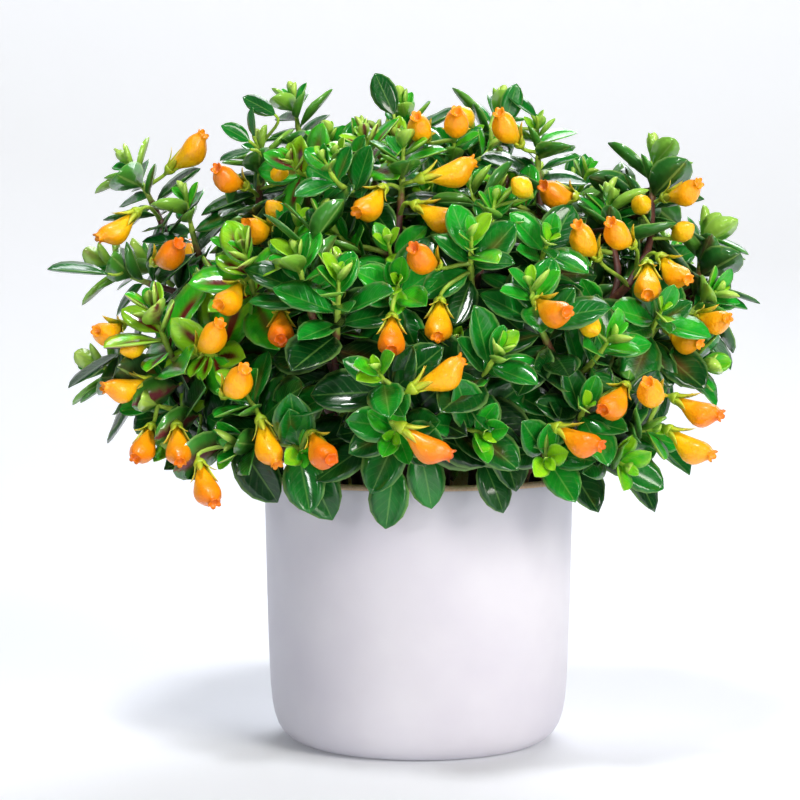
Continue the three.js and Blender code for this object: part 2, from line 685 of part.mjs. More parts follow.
const numbered = (kind, index) => `${kind}_${String(index + 1).padStart(2, '0')}`;
const plant = new THREE.Group();
plant.add(named('pot', potSolid, FINISH.pot), named('soil', soilSolid, FINISH.soil));
pieces.forEach((solids, index) => plant.add(named(numbered('stem', index), join(solids), FINISH.leaf)));
corollas.forEach((body, index) => plant.add(named(numbered('bloom', index), body, FINISH.bloom)));

export default plant;
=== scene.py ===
"""The looks of a goldfish plant (Nematanthus) in a round glazed pot.

Lengths are millimetres, in the part's own frame, up to the moment a mesh is made; meshes are in metres.
+Z is up, the origin is the middle of the pot's base and -Y is the front.
"""

import logging
import math
from dataclasses import dataclass, field
from enum import Enum
from typing import Any, Iterable, NamedTuple, Sequence

import bpy
from mathutils import Matrix, Vector
from mathutils.bvhtree import BVHTree

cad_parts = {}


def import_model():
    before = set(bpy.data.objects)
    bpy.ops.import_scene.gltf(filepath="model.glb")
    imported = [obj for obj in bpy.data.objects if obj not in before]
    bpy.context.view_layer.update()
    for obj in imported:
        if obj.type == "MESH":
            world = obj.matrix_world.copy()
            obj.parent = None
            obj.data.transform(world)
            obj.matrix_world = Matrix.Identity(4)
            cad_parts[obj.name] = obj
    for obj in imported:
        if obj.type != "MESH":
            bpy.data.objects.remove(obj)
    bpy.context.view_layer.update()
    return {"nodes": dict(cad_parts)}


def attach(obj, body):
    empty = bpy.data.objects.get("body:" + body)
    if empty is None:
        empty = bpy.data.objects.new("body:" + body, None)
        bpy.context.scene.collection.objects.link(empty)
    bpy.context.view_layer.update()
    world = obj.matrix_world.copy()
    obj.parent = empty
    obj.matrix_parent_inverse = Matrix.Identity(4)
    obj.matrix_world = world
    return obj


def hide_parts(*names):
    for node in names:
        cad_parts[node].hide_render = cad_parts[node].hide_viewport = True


LOG = logging.getLogger("goldfish_plant")
MM = 0.001
UP = Vector((0.0, 0.0, 1.0))
BACK = Vector((0.0, 1.0, 0.0))
# The light that leaves of the front half turn to, and between which y this fades, going back.
WINDOW = Vector((0.0, -1.0, 0.3))
FRONT_HALF = (0, 70)
# A way that rises more steeply than this counts as upright.
STEEP = 0.95
# The middle part of plain noise, where most of its values lie.
CLOUDY = (0.3, 0.7)
# Lengths under this count as none, and directions this near count as the same.
TINY, SAME = 1e-9, 1e-6

Socket = bpy.types.NodeSocket
Material = bpy.types.Material
Mesh = bpy.types.Mesh
Piece = bpy.types.Object
Pair = tuple[float, float]
Triple = tuple[float, float, float]
Rgba = tuple[float, float, float, float]
Stops = tuple[tuple[float, str], ...]
Band = tuple[Socket, float, float, float, float]
Face = tuple[int, ...]


class Stem(NamedTuple):
    """A stem: where it leaves the soil, where it forks, and its shoots.

    A shoot is its tip x, y, z, the tip's tilt in degrees from upright, and its pairs of leaves.
    """

    base: Pair
    fork: Triple
    shoots: tuple[tuple[float, float, float, float, int], ...]


STEMS: tuple[Stem, ...] = (
    Stem((-44, -22), (-82, -44, 138), (
        (-133, -20, 158, 62, 3), (-105, -58, 182, 15, 2), (-106, -55, 143, 75, 2), (-94, -62, 128, 95, 2))),
    Stem((-34, -4), (-90, -12, 186), (
        (-124, 10, 245, 40, 3), (-133, 0, 201, 52, 3), (-97, -12, 228, 10, 2), (-84, -66, 163, 55, 2))),
    Stem((-24, -20), (-60, -42, 168), (
        (-66, -6, 251, 8, 3), (-68, -68, 204, 18, 2))),
    Stem((-14, 4), (-38, 0, 208), (
        (-54, 15, 273, 10, 3), (-37, -15, 253, 10, 2))),
    Stem((4, 2), (9, 4, 210), (
        (-7, 10, 269, 5, 3), (35, 25, 272, 12, 3), (15, -15, 253, 8, 2))),
    Stem((-6, -24), (-9, -52, 190), (
        (-6, -42, 247, 4, 2), (-22, -30, 252, 12, 2), (-8, -88, 190, 45, 2))),
    Stem((22, -14), (46, -30, 192), (
        (49, -15, 257, 4, 3), (50, -75, 207, 35, 3))),
    Stem((36, -4), (84, -40, 190), (
        (99, 8, 248, 4, 3), (78, -16, 228, 12, 2))),
    Stem((46, -16), (102, -32, 170), (
        (120, 4, 215, 8, 3), (121, -30, 188, 58, 2), (94, -70, 180, 40, 2), (114, -46, 158, 78, 2))),
    Stem((28, -32), (54, -74, 150), (
        (42, -95, 189, 14, 2), (73, -88, 170, 30, 2))),
    Stem((-16, -36), (-31, -76, 152), (
        (-30, -95, 193, 18, 3), (-47, -78, 202, 15, 2))),
    Stem((10, -30), (20, -66, 182), (
        (20, -86, 208, 22, 2), (30, -60, 223, 14, 2))),
    Stem((-2, -43), (-2, -83, 140), (
        (-15, -116, 158, 48, 3), (-9, -110, 134, 98, 3), (24, -106, 134, 98, 2), (30, -104, 165, 30, 2))),
    Stem((38, -30), (64, -70, 132), (
        (90, -78, 134, 80, 2), (63, -97, 144, 62, 2), (78, -88, 121, 105, 2), (48, -97, 124, 102, 2))),
    Stem((-30, -40), (-54, -72, 128), (
        (-44, -94, 126, 98, 3), (-71, -77, 128, 92, 2), (-68, -76, 150, 28, 2))),
    Stem((-32, 24), (-74, 46, 166), (
        (-122, 44, 204, 40, 3), (-70, 54, 236, 15, 3), (-92, 86, 182, 45, 3), (-84, 84, 142, 80, 2))),
    Stem((0, 30), (2, 62, 182), (
        (-30, 76, 236, 20, 3), (16, 62, 248, 12, 3), (-24, 110, 194, 50, 3), (22, 116, 166, 65, 2))),
    Stem((34, 24), (74, 46, 168), (
        (112, 44, 206, 40, 3), (64, 52, 236, 14, 3), (88, 86, 184, 45, 3), (92, 76, 144, 80, 2))),
)

# Each bloom: its stem's number, its calyx and its mouth.
BLOOMS: tuple[tuple[int, Triple, Triple], ...] = (
    (2, (-105, 2, 240), (-90, -6, 254)),
    (2, (-117, -14, 221), (-132, -22, 210)),
    (3, (-71, -26, 231), (-81, -42, 237)),
    (3, (-60, -38, 213), (-68, -57, 214)),
    (2, (-108, -26, 200), (-96, -43, 207)),
    (6, (1, -54, 232), (22, -54, 239)),
    (6, (-14, -54, 228), (-24, -70, 218)),
    (6, (-1, -62, 221), (16, -73, 215)),
    (5, (3, -30, 250), (-1, -48, 257)),
    (7, (41, -28, 248), (32, -43, 259)),
    (7, (62, -40, 226), (49, -56, 229)),
    (8, (102, -12, 227), (114, -27, 232)),
    (8, (70, -59, 201), (61, -73, 213)),
    (8, (90, -57, 198), (88, -75, 186)),
    (9, (99, -48, 173), (110, -62, 167)),
    (9, (112, -44, 178), (121, -61, 177)),
    (14, (78, -91, 151), (68, -108, 143)),
    (14, (99, -74, 146), (115, -85, 140)),
    (14, (52, -102, 136), (67, -114, 130)),
    (10, (44, -103, 183), (54, -121, 179)),
    (3, (-69, -68, 190), (-76, -86, 182)),
    (1, (-119, -46, 174), (-126, -64, 172)),
    (1, (-106, -57, 152), (-123, -67, 150)),
    (1, (-86, -67, 164), (-76, -82, 175)),
    (15, (-74, -84, 148), (-65, -101, 158)),
    (3, (-53, -74, 179), (-52, -92, 169)),
    (6, (-10, -100, 177), (-10, -117, 165)),
    (12, (8, -90, 183), (7, -107, 170)),
    (12, (7, -84, 197), (-2, -102, 203)),
    (13, (-2, -117, 151), (16, -119, 162)),
    (15, (-60, -87, 138), (-53, -98, 122)),
    (15, (-40, -97, 133), (-32, -115, 125)),
    (13, (-6, -119, 137), (12, -122, 127)),
    (1, (-105, -62, 134), (-109, -78, 123)),
    (1, (-94, -70, 135), (-91, -85, 122)),
    (15, (-84, -80, 121), (-77, -94, 107)),
    (16, (-98, 62, 202), (-106, 78, 212)),
    (16, (-82, 92, 168), (-90, 108, 160)),
    (17, (-10, 104, 204), (-4, 120, 214)),
    (18, (94, 62, 200), (104, 76, 210)),
)

# Blooms that are one body with their stem.
SET_BLOOMS: tuple[tuple[int, Triple, Triple], ...] = (
    (5, (15, -30, 252), (15, -49, 259)),
    (8, (84, -55, 206), (74, -71, 214)),
    (8, (96, -50, 201), (105, -65, 192)),
    (14, (91, -84, 147), (85, -103, 153)),
    (14, (96, -80, 134), (111, -91, 125)),
)

# Each closed bud: its stem's number, its base and its point.
BUDS: tuple[tuple[int, Triple, Triple], ...] = (
    (3, (-55, -36, 217), (-60, -42, 223)), (5, (21, -26, 256), (16, -33, 261)),
    (12, (43, -65, 225), (37, -71, 230)), (8, (104, -28, 210), (110, -35, 214)),
    (10, (62, -95, 175), (66, -103, 172)), (1, (-109, -56, 166), (-116, -62, 164)),
    (3, (-57, -22, 233), (-56, -31, 237)), (8, (91, -24, 221), (90, -33, 225)),
    (18, (68, 76, 218), (72, 82, 225)), (16, (-80, 70, 216), (-86, 76, 222)),
)

# Single leaves that hang over the rim or stand out of the outline: root, tip and age.
SINGLE_LEAVES: tuple[tuple[Triple, Triple, float], ...] = (
    ((-9, -84, 122), (-13, -87, 98), 0.7), ((0, -86, 129), (6, -91, 107), 0.6),
    ((-46, -79, 127), (-34, -84, 101), 0.75), ((52, -71, 129), (71, -76, 105), 0.75),
    ((30, -80, 135), (38, -86, 113), 0.85), ((78, -54, 129), (97, -60, 106), 0.8),
    ((-71, -70, 130), (-56, -76, 107), 0.7), ((-16, -90, 131), (-38, -96, 119), 0.8),
    ((2, -92, 134), (26, -98, 127), 0.75), ((24, -80, 124), (34, -86, 106), 0.8),
    ((88, -48, 134), (108, -56, 119), 0.7), ((-74, -60, 129), (-99, -66, 121), 0.95),
    ((-127, -24, 195), (-149, -31, 200), 0.7), ((-120, -42, 163), (-140, -50, 155), 0.75),
    ((112, -18, 186), (134, -22, 184), 0.6), ((119, 2, 212), (138, -2, 207), 0.5),
    ((-30, -88, 150), (-47, -98, 143), 0.6), ((33, -82, 150), (50, -92, 143), 0.6),
    ((-10, -22, 260), (-16.6, -26, 275.5), 0.6), ((35.5, -22, 257), (40.2, -26, 270.5), 0.6),
    ((-58.6, -22, 260.2), (-69.4, -26, 267.5), 0.6), ((-68.6, -30, 248.8), (-78.0, -34, 254.9), 0.6),
    ((-67.5, -34, 245.1), (-78.3, -40, 243.8), 0.55), ((-66.9, -26, 250.7), (-68.6, -30, 261.0), 0.45),
    ((48.4, -20, 259.5), (38.4, -24, 268.2), 0.6),
)

# The same for old leaves that are turned over, so that their mauve undersides show at the front.
TURNED_LEAVES: tuple[tuple[Triple, Triple, float], ...] = (
    ((-94.8, -52, 150.7), (-113, -62, 144.2), 0.5), ((-86.4, -58, 139), (-105, -70, 133.5), 0.5),
    ((-74.6, -62, 128.5), (-97.5, -77, 122.5), 0.6),
)

# Shoots, as (stem, shoot), whose young leaves are pale lime with a red-brown flush along the midrib.
FLUSHED: frozenset[tuple[int, int]] = frozenset({(1, 2), (3, 2), (6, 2), (2, 4), (17, 3), (16, 2)})

# Round openings in the head, as (x, z, radius): no filling shoot ends in one.
OPEN_SPOTS: tuple[Triple, ...] = ((-91, 233, 22), (92, 122, 24), (-112, 122, 18), (125, 186, 16))

# Blooms, counted from one, that are old enough to be deep orange.
DEEP_BLOOMS: frozenset[int] = frozenset({3, 5, 11, 17, 18, 19, 20, 26, 27, 29, 32, 33, 34, 35, 36})


# ---- Numbers and directions ----


WORD = 0xFFFFFFFF
START, STEP, FIRST_MIX, SECOND_MIX = 0x9E3779B9, 0x85EBCA6B, 0xC2B2AE35, 0x27D4EB2F


def draw(*keys: int) -> float:
    """A repeatable number from 0 to 1 for a few whole-number keys.

    Args:
        keys: The numbers that name what the draw is for.

    Returns:
        The same number for the same keys, on every run.
    """
    state = START
    for key in keys:
        state = ((state ^ ((key + STEP) & WORD)) * FIRST_MIX) & WORD
        state ^= state >> 15
        state = (state * SECOND_MIX) & WORD
        state ^= state >> 13
    return state / (WORD + 1)


def spread(amount: float, *keys: int) -> float:
    """A repeatable number from minus the amount to the amount."""
    return amount * (2 * draw(*keys) - 1)


def square_to(way: Vector) -> Vector:
    """A direction square to a way."""
    return way.cross(Vector((1, 0, 0)) if abs(way.z) > STEEP else UP).normalized()


def turned(vector: Vector, axis: Vector, degrees: float) -> Vector:
    """A vector turned about an axis by an angle in degrees."""
    return Matrix.Rotation(math.radians(degrees), 3, axis) @ vector


def smooth(low: float, high: float, value: float) -> float:
    """A soft step from 0 at low to 1 at high."""
    share = min(1.0, max(0.0, (value - low) / (high - low)))
    return share * share * (3 - 2 * share)


def hex_rgba(colour: str) -> Rgba:
    """An sRGB hex colour as linear red, green, blue and alpha.

    Args:
        colour: Six hex digits, such as "2f7a35".

    Returns:
        The linear colour that a shader socket takes.
    """
    values = [int(colour[place : place + 2], 16) / 255 for place in (0, 2, 4)]
    linear = [v / 12.92 if v <= 0.04045 else ((v + 0.055) / 1.055) ** 2.4 for v in values]
    return (linear[0], linear[1], linear[2], 1.0)


def add(
    tree: bpy.types.NodeTree,
    kind: str,
    inputs: dict | None = None,
    stops: Stops = (),
    **settings: Any,
) -> bpy.types.Node:
    """Adds a node with its settings, values and links.

    Args:
        tree: The tree that the node goes into.
        kind: Blender's name of the node's type.
        inputs: For each input's name or place, a value or the socket to link it to.
        stops: The places and hex colours of a colour ramp.
        settings: Properties of the node itself.

    Returns:
        The new node.
    """
    node = tree.nodes.new(kind)
    for name, value in settings.items():
        setattr(node, name, value)
    while stops and len(node.color_ramp.elements) < len(stops):
        node.color_ramp.elements.new(0.5)
    for order, (place, colour) in enumerate(stops):
        element = node.color_ramp.elements[order]
        element.position, element.color = place, hex_rgba(colour)
    for key, value in (inputs or {}).items():
        if isinstance(value, bpy.types.NodeSocket):
            tree.links.new(value, node.inputs[key])
        else:
            node.inputs[key].default_value = value
    return node


# ---- Routes ----


@dataclass
class Route:
    """A route of straight runs from point to point.

    Attributes:
        points: The route's points, from its foot to its end.
    """

    points: list[Vector]

    @property
    def length(self) -> float:
        """The whole length of the route."""
        return sum((b - a).length for a, b in zip(self.points, self.points[1:]))

    def back(self, distance: float) -> tuple[Vector, Vector]:
        """The route at a distance back from its end.

        Args:
            distance: The distance.

        Returns:
            The point there, and the way the route goes.
        """
        left = distance
        for run in range(len(self.points) - 1, 0, -1):
            end, start = self.points[run], self.points[run - 1]
            length = (end - start).length
            if left <= length or run == 1:
                way = (end - start).normalized()
                return end - way * min(left, length), way
            left -= length
        raise ValueError("a route needs two points")

    def nearest(self, target: Vector, below: float) -> Vector:
        """The point that lies nearest to a target.

        Args:
            target: The target.
            below: How far from its end the route is left out.

        Returns:
            The point.
        """
        points = [*self.points[:-1], self.back(below)[0]]
        best = points[0]
        for start, end in zip(points, points[1:]):
            run = end - start
            share = 0.0 if run.length < TINY else (target - start).dot(run) / run.length_squared
            spot = start + run * min(1.0, max(0.0, share))
            if (spot - target).length < (best - target).length:
                best = spot
        return best

    def softened(self, rounds: int = 2, cuts: Pair = (0.25, 0.75)) -> list[Vector]:
        """The route's points with its corners cut, and its two ends kept.

        Args:
            rounds: How often the corners are cut.
            cuts: Where a run is cut, as shares of it.

        Returns:
            The points.
        """
        points = self.points
        for _ in range(rounds):
            cut = [points[0]]
            for start, end in zip(points, points[1:]):
                cut += [start.lerp(end, share) for share in cuts]
            points = [*cut, points[-1]]
        return points


def bezier(corners: Sequence[Vector], steps: int) -> list[Vector]:
    """Points along a cubic curve.

    Args:
        corners: Its four control points.
        steps: How many runs to cut it into.

    Returns:
        The curve's points, one more than the steps.
    """
    points = []
    for step in range(steps + 1):
        t = step / steps
        weights = ((1 - t) ** 3, 3 * t * (1 - t) ** 2, 3 * t * t * (1 - t), t ** 3)
        points.append(sum((corner * weight for corner, weight in zip(corners, weights)), Vector()))
    return points


@dataclass(frozen=True)
class Habit:
    """How the plant grows: its stems' and shoots' curves, in the part's own sizes.

    Attributes:
        climb, reach, arch: How far a stem goes on up, is out before it turns, and arches over its fork, as shares.
        leave, arrive: How far a shoot keeps the stem's way and then its own, as shares of its reach.
        below: How far from a shoot's tip nothing branches off.
    """

    foot: float = 81.3
    foot_top: float = 103.0
    wood_steps: int = 4
    climb: float = 0.45
    reach: float = 0.7
    arch: float = 0.14
    shoot_steps: int = 3
    spacing: float = 9.0
    leave: float = 0.3
    arrive: float = 0.4
    twist: float = 45.0
    twist_spread: float = 40.0
    below: float = 3.0

    def stem_route(self, stem: Stem) -> Route:
        """A stem's wood: straight up out of the soil, then arching over to its fork.

        Args:
            stem: The stem.

        Returns:
            The route from its foot to its fork.
        """
        x, y = stem.base
        start, end = Vector((x, y, self.foot_top)), Vector(stem.fork)
        rise = end.z - start.z
        corners = (
            start,
            start + UP * self.climb * rise,
            start.lerp(end, self.reach) + UP * self.arch * rise,
            end,
        )
        return Route([Vector((x, y, self.foot)), *bezier(corners, self.wood_steps)])

    def shoot_route(self, stem: Stem, index: int) -> Route:
        """The route of one of a stem's shoots.

        Args:
            stem: The stem.
            index: The shoot's place in the stem's list.

        Returns:
            The route from the stem's wood to the shoot's tip.
        """
        x, y, z, tilt, _ = stem.shoots[index]
        start, way = self.stem_route(stem).back(self.spacing * index)
        tip = Vector((x, y, z))
        outward = Vector((x - stem.base[0] / 2, y - stem.base[1] / 2, 0)).normalized()
        lean = outward * math.sin(math.radians(tilt)) + UP * math.cos(math.radians(tilt))
        return self.run(start, way, tip, lean)

    def run(self, start: Vector, way: Vector, tip: Vector, lean: Vector) -> Route:
        """A shoot's route.

        Args:
            start: Where it leaves the wood.
            way: The way it leaves.
            tip: Where it ends.
            lean: The way it ends.

        Returns:
            The route.
        """
        reach = (tip - start).length
        corners = (start, start + way * self.leave * reach, tip - lean * self.arrive * reach, tip)
        return Route(bezier(corners, self.shoot_steps))


HABIT = Habit()


# ---- Leaves ----


class LeafKind(Enum):
    """The forms that a leaf takes, from the tip of a shoot down to its old wood."""

    YOUNG = 0
    FULL = 1
    DROOPED = 2
    WAVED = 3


@dataclass(frozen=True)
class LeafForm:
    """The shape of one form of leaf, as shares of its length and width.

    Attributes:
        outline: Share of the length and share of the half width, from the root to the tip.
        fold, curl: How high the margins rise over the midrib, and how far they turn back down.
        groove: How deep the midrib lies between the two puffed halves.
    """

    outline: tuple[Pair, ...]
    fold: float = 0.16
    droop: float = 0.24
    curl: float = 0.05
    groove: float = 0.055
    sway: float = 0.0
    wave: float = 0.0
    thickness: float = 0.07


BROAD = ((0.0, 0.12), (0.07, 0.1), (0.15, 0.4), (0.28, 0.78), (0.45, 0.98), (0.62, 1.0), (0.79, 0.82), (0.92, 0.46),
         (1.0, 0.03))
LEAF_FORMS: dict[LeafKind, LeafForm] = {
    LeafKind.YOUNG: LeafForm(
        ((0.0, 0.2), (0.07, 0.2), (0.17, 0.5), (0.33, 0.84), (0.48, 0.98), (0.65, 1.0), (0.82, 0.8), (0.93, 0.48),
         (1.0, 0.05)), fold=0.2, droop=0.02, curl=0.02, thickness=0.1),
    LeafKind.FULL: LeafForm(BROAD),
    LeafKind.DROOPED: LeafForm(BROAD, fold=0.06, droop=0.42, curl=0.09, sway=0.05),
    LeafKind.WAVED: LeafForm(BROAD, fold=0.13, droop=0.18, curl=0.03, sway=-0.07, wave=0.03),
}


@dataclass
class Leaf:
    """One leaf in its place.

    Its age runs from 0, just opening, to 1; flush is how strongly red-brown runs along its midrib, and tint is
    a draw from 0 to 1 that sets it apart from its neighbours.
    """

    root: Vector
    along: Vector
    face: Vector
    length: float
    width: float
    age: float = 0.5
    flush: float = 0.0
    tint: float = 0.5
    kind: LeafKind = LeafKind.FULL

    def spot(self, share: float, across: float = 0.0, droop: float = 0.13, fold: float = 0.2) -> Vector:
        """A point on the middle of the blade.

        Args:
            share: How far along, as a share of its length.
            across: How far to the side, as a share of its half width.
            droop: How far the tip hangs, as a share of its length.
            fold: How high the margins rise, as a share of its half width.

        Returns:
            The point.
        """
        side = self.face.cross(self.along)
        half = self.width / 2
        height = fold * half * abs(across) - droop * self.length * share * share
        return self.root + self.along * self.length * share + side * half * across + self.face * height

    def roll(self, light: float) -> None:
        """Rolls a leaf of the front half about its midrib, by a share of the light in front."""
        face = self.face + WINDOW * light * (1 - smooth(*FRONT_HALF, self.root.y))
        self.face = (face - self.along * face.dot(self.along)).normalized()

    def samples(self) -> list[Vector]:
        """Points spread over the blade, for keeping leaves apart."""
        spots = ((0.3, 0.0), (0.55, -0.6), (0.55, 0.6), (0.6, 0.0), (0.95, 0.0))
        return [self.spot(share, across) for share, across in spots]

    def turn(self) -> Triple:
        """The turn from a form's own axes to the leaf's place, as Euler angles."""
        side = self.along.cross(self.face)
        return tuple(Matrix((side, self.along, self.face)).transposed().to_euler())


class Bend(NamedTuple):
    """A way for a leaf to give way to its neighbours: degrees up, degrees round, and share of its size."""

    lift: float
    turn: float
    size: float


BENDS: tuple[Bend, ...] = tuple(Bend(*bend) for bend in (
    (0, 0, 1), (14, 0, 1), (-14, 0, 1), (0, 20, 1), (0, -20, 1), (16, 20, 0.95), (16, -20, 0.95),
    (-16, 20, 0.95), (-16, -20, 0.95), (28, 0, 0.85), (-28, 0, 0.85), (0, 0, 0.72), (22, 30, 0.75),
    (22, -30, 0.75),
))


@dataclass
class Room:
    """Where leaves and flowers already are: the taken points of each cell, each with the air round it."""

    cell: float = 12.0
    cells: dict[tuple[int, int, int], list[tuple[Vector, float]]] = field(default_factory=dict)

    def key(self, point: Vector) -> tuple[int, int, int]:
        """The cell that a point is in."""
        return (int(point.x // self.cell), int(point.y // self.cell), int(point.z // self.cell))

    def take(self, points: Iterable[Vector], air: float) -> None:
        """Marks points as taken, with some air round each."""
        for point in points:
            self.cells.setdefault(self.key(point), []).append((point, air))

    def free(self, points: Iterable[Vector], scale: float = 1.0) -> bool:
        """Whether no point is in the air of a taken one.

        Args:
            points: The points.
            scale: How much air is asked for, against the usual.

        Returns:
            True where there is room for all of them.
        """
        for point in points:
            x, y, z = self.key(point)
            for i in (x - 1, x, x + 1):
                for j in (y - 1, y, y + 1):
                    for k in (z - 1, z, z + 1):
                        for other, air in self.cells.get((i, j, k), ()):
                            if (other - point).length < air * scale:
                                return False
        return True


@dataclass(frozen=True)
class LeafHabit:
    """How leaves stand on a shoot, pair by pair from its tip down.

    Attributes:
        steps, lifts: Distance of each pair below the tip, and degrees that it stands above square to the shoot.
        low, high: The height of a low and of a high tip, with the size of its leaves.
        lean, middle, soft: How far shoots lean out, of what middle behind the pot's, and how softly there.
        salt: What sets its draws apart from another habit's.
    """

    steps: tuple[float, ...] = (2, 8, 15, 24, 35, 47, 60)
    lengths: tuple[float, ...] = (12.5, 20, 26.5, 28, 29, 29, 28)
    lifts: tuple[float, ...] = (60, 38, 20, 12, 4, -2, -8)
    ages: tuple[float, ...] = (0.08, 0.28, 0.52, 0.72, 0.85, 0.93, 1.0)
    low: Pair = (135, 1.14)
    high: Pair = (260, 0.86)
    width_ratio: float = 0.6
    thickness: float = 0.8
    root_half: float = 1.1
    radius: float = 1.3
    skyward: float = 0.4
    outturn: float = 0.5
    lean: float = 0.4
    middle: float = 40.0
    soft: float = 18.0
    turn_spread: float = 12.0
    lift_spread: float = 11.0
    size_spread: float = 0.1
    phase: float = 0.0
    salt: int = 0

    def half(self, pair: int) -> float:
        """Half the height of a leaf's root on its shoot."""
        return min(self.root_half, self.thickness / 2 / math.cos(math.radians(self.lifts[pair])))

    def vigour(self, height: float) -> float:
        """The size of a shoot's leaves against the usual one.

        Args:
            height: The height of the shoot's tip.

        Returns:
            The size, larger low down.
        """
        (low, large), (high, small) = self.low, self.high
        share = min(1.0, max(0.0, (height - low) / (high - low)))
        return large + (small - large) * share

    def out_of(self, point: Vector) -> Vector:
        """The level way out of the plant's middle at a point, shorter near the middle."""
        out = Vector((point.x, point.y - self.middle, 0))
        return out / (out.length + self.soft)

    def place(self, twig: "Twig", pair: int, side: int, bend: Bend) -> Leaf:
        """A leaf in its place on a shoot.

        Args:
            twig: The shoot.
            pair: Its pair, counted from the tip.
            side: Its side of the shoot, from 0 to 3.
            bend: How it gives way.

        Returns:
            The leaf, in its nominal form.
        """
        keys = (*twig.keys, pair + self.salt, side)
        point, way, across = twig.frame(self.steps[pair] + self.half(pair))
        straight = turned(across, way, 90 * side + self.phase)
        outward = turned(straight, way, spread(self.turn_spread, *keys, 1) + bend.turn)
        lift = math.radians(self.lifts[pair] + spread(self.lift_spread, *keys, 2) + bend.lift)
        out = self.out_of(point)
        axis = (way + out * self.lean).normalized()
        outward = (outward - axis * outward.dot(axis)).normalized()
        along = outward * math.cos(lift) + axis * math.sin(lift)
        face = axis * math.cos(lift) - outward * math.sin(lift) + UP * self.skyward + out * self.outturn
        face = (face - along * face.dot(along)).normalized()
        vigour = self.vigour(twig.route.points[-1].z)
        length = self.lengths[pair] * (1 + spread(self.size_spread, *keys, 3)) * bend.size * vigour * twig.vigour
        root = point + way * self.half(pair) + straight * self.radius * math.sqrt(0.5)
        return Leaf(root, along, face, length, length * self.width_ratio)


# The pairs of a shoot that fills out the head, and the smaller ones between the pairs of a stem's own shoot.
CROWDED = LeafHabit(
    steps=(1.5, 5.5, 10.5, 16, 22.5, 30, 38, 47, 57), lengths=(10, 15, 19.5, 22.5, 24.5, 26, 27, 28, 28),
    lifts=(62, 48, 36, 28, 20, 13, 6, 0, -6), ages=(0.1, 0.25, 0.42, 0.58, 0.7, 0.8, 0.88, 0.94, 1.0), salt=100)
BETWEEN = LeafHabit(
    steps=(5, 11.5, 19.5, 29.5, 41, 53), lengths=(13.5, 18.5, 22.5, 25, 26, 26), lifts=(50, 36, 26, 18, 10, 2),
    ages=(0.2, 0.4, 0.6, 0.75, 0.88, 0.96), phase=45.0, salt=200)


@dataclass
class Twig:
    """A leafy shoot: its route from the wood, and the two whole numbers that name it in every draw.

    It carries pairs of leaves that the part's own solids have, and extra pairs; the young leaves of a flushed
    one are lime and red-brown.
    """

    route: Route
    keys: tuple[int, int]
    pairs: int
    extra: int = 2
    flushed: bool = False
    vigour: float = 1.0

    def frame(self, distance: float) -> tuple[Vector, Vector, Vector]:
        """The shoot at a distance below its tip.

        Args:
            distance: The distance.

        Returns:
            The point there, the way the shoot goes, and the way its first leaf points.
        """
        twist = HABIT.twist + spread(HABIT.twist_spread, *self.keys)
        ways = [(b - a).normalized() for a, b in zip(self.route.points, self.route.points[1:])]
        point, way = self.route.back(distance)
        across = turned(square_to(ways[-1]), ways[-1], twist)
        for step in reversed(ways):
            across = (across - step * across.dot(step)).normalized()
            if (step - way).length < SAME:
                break
        return point, way, across


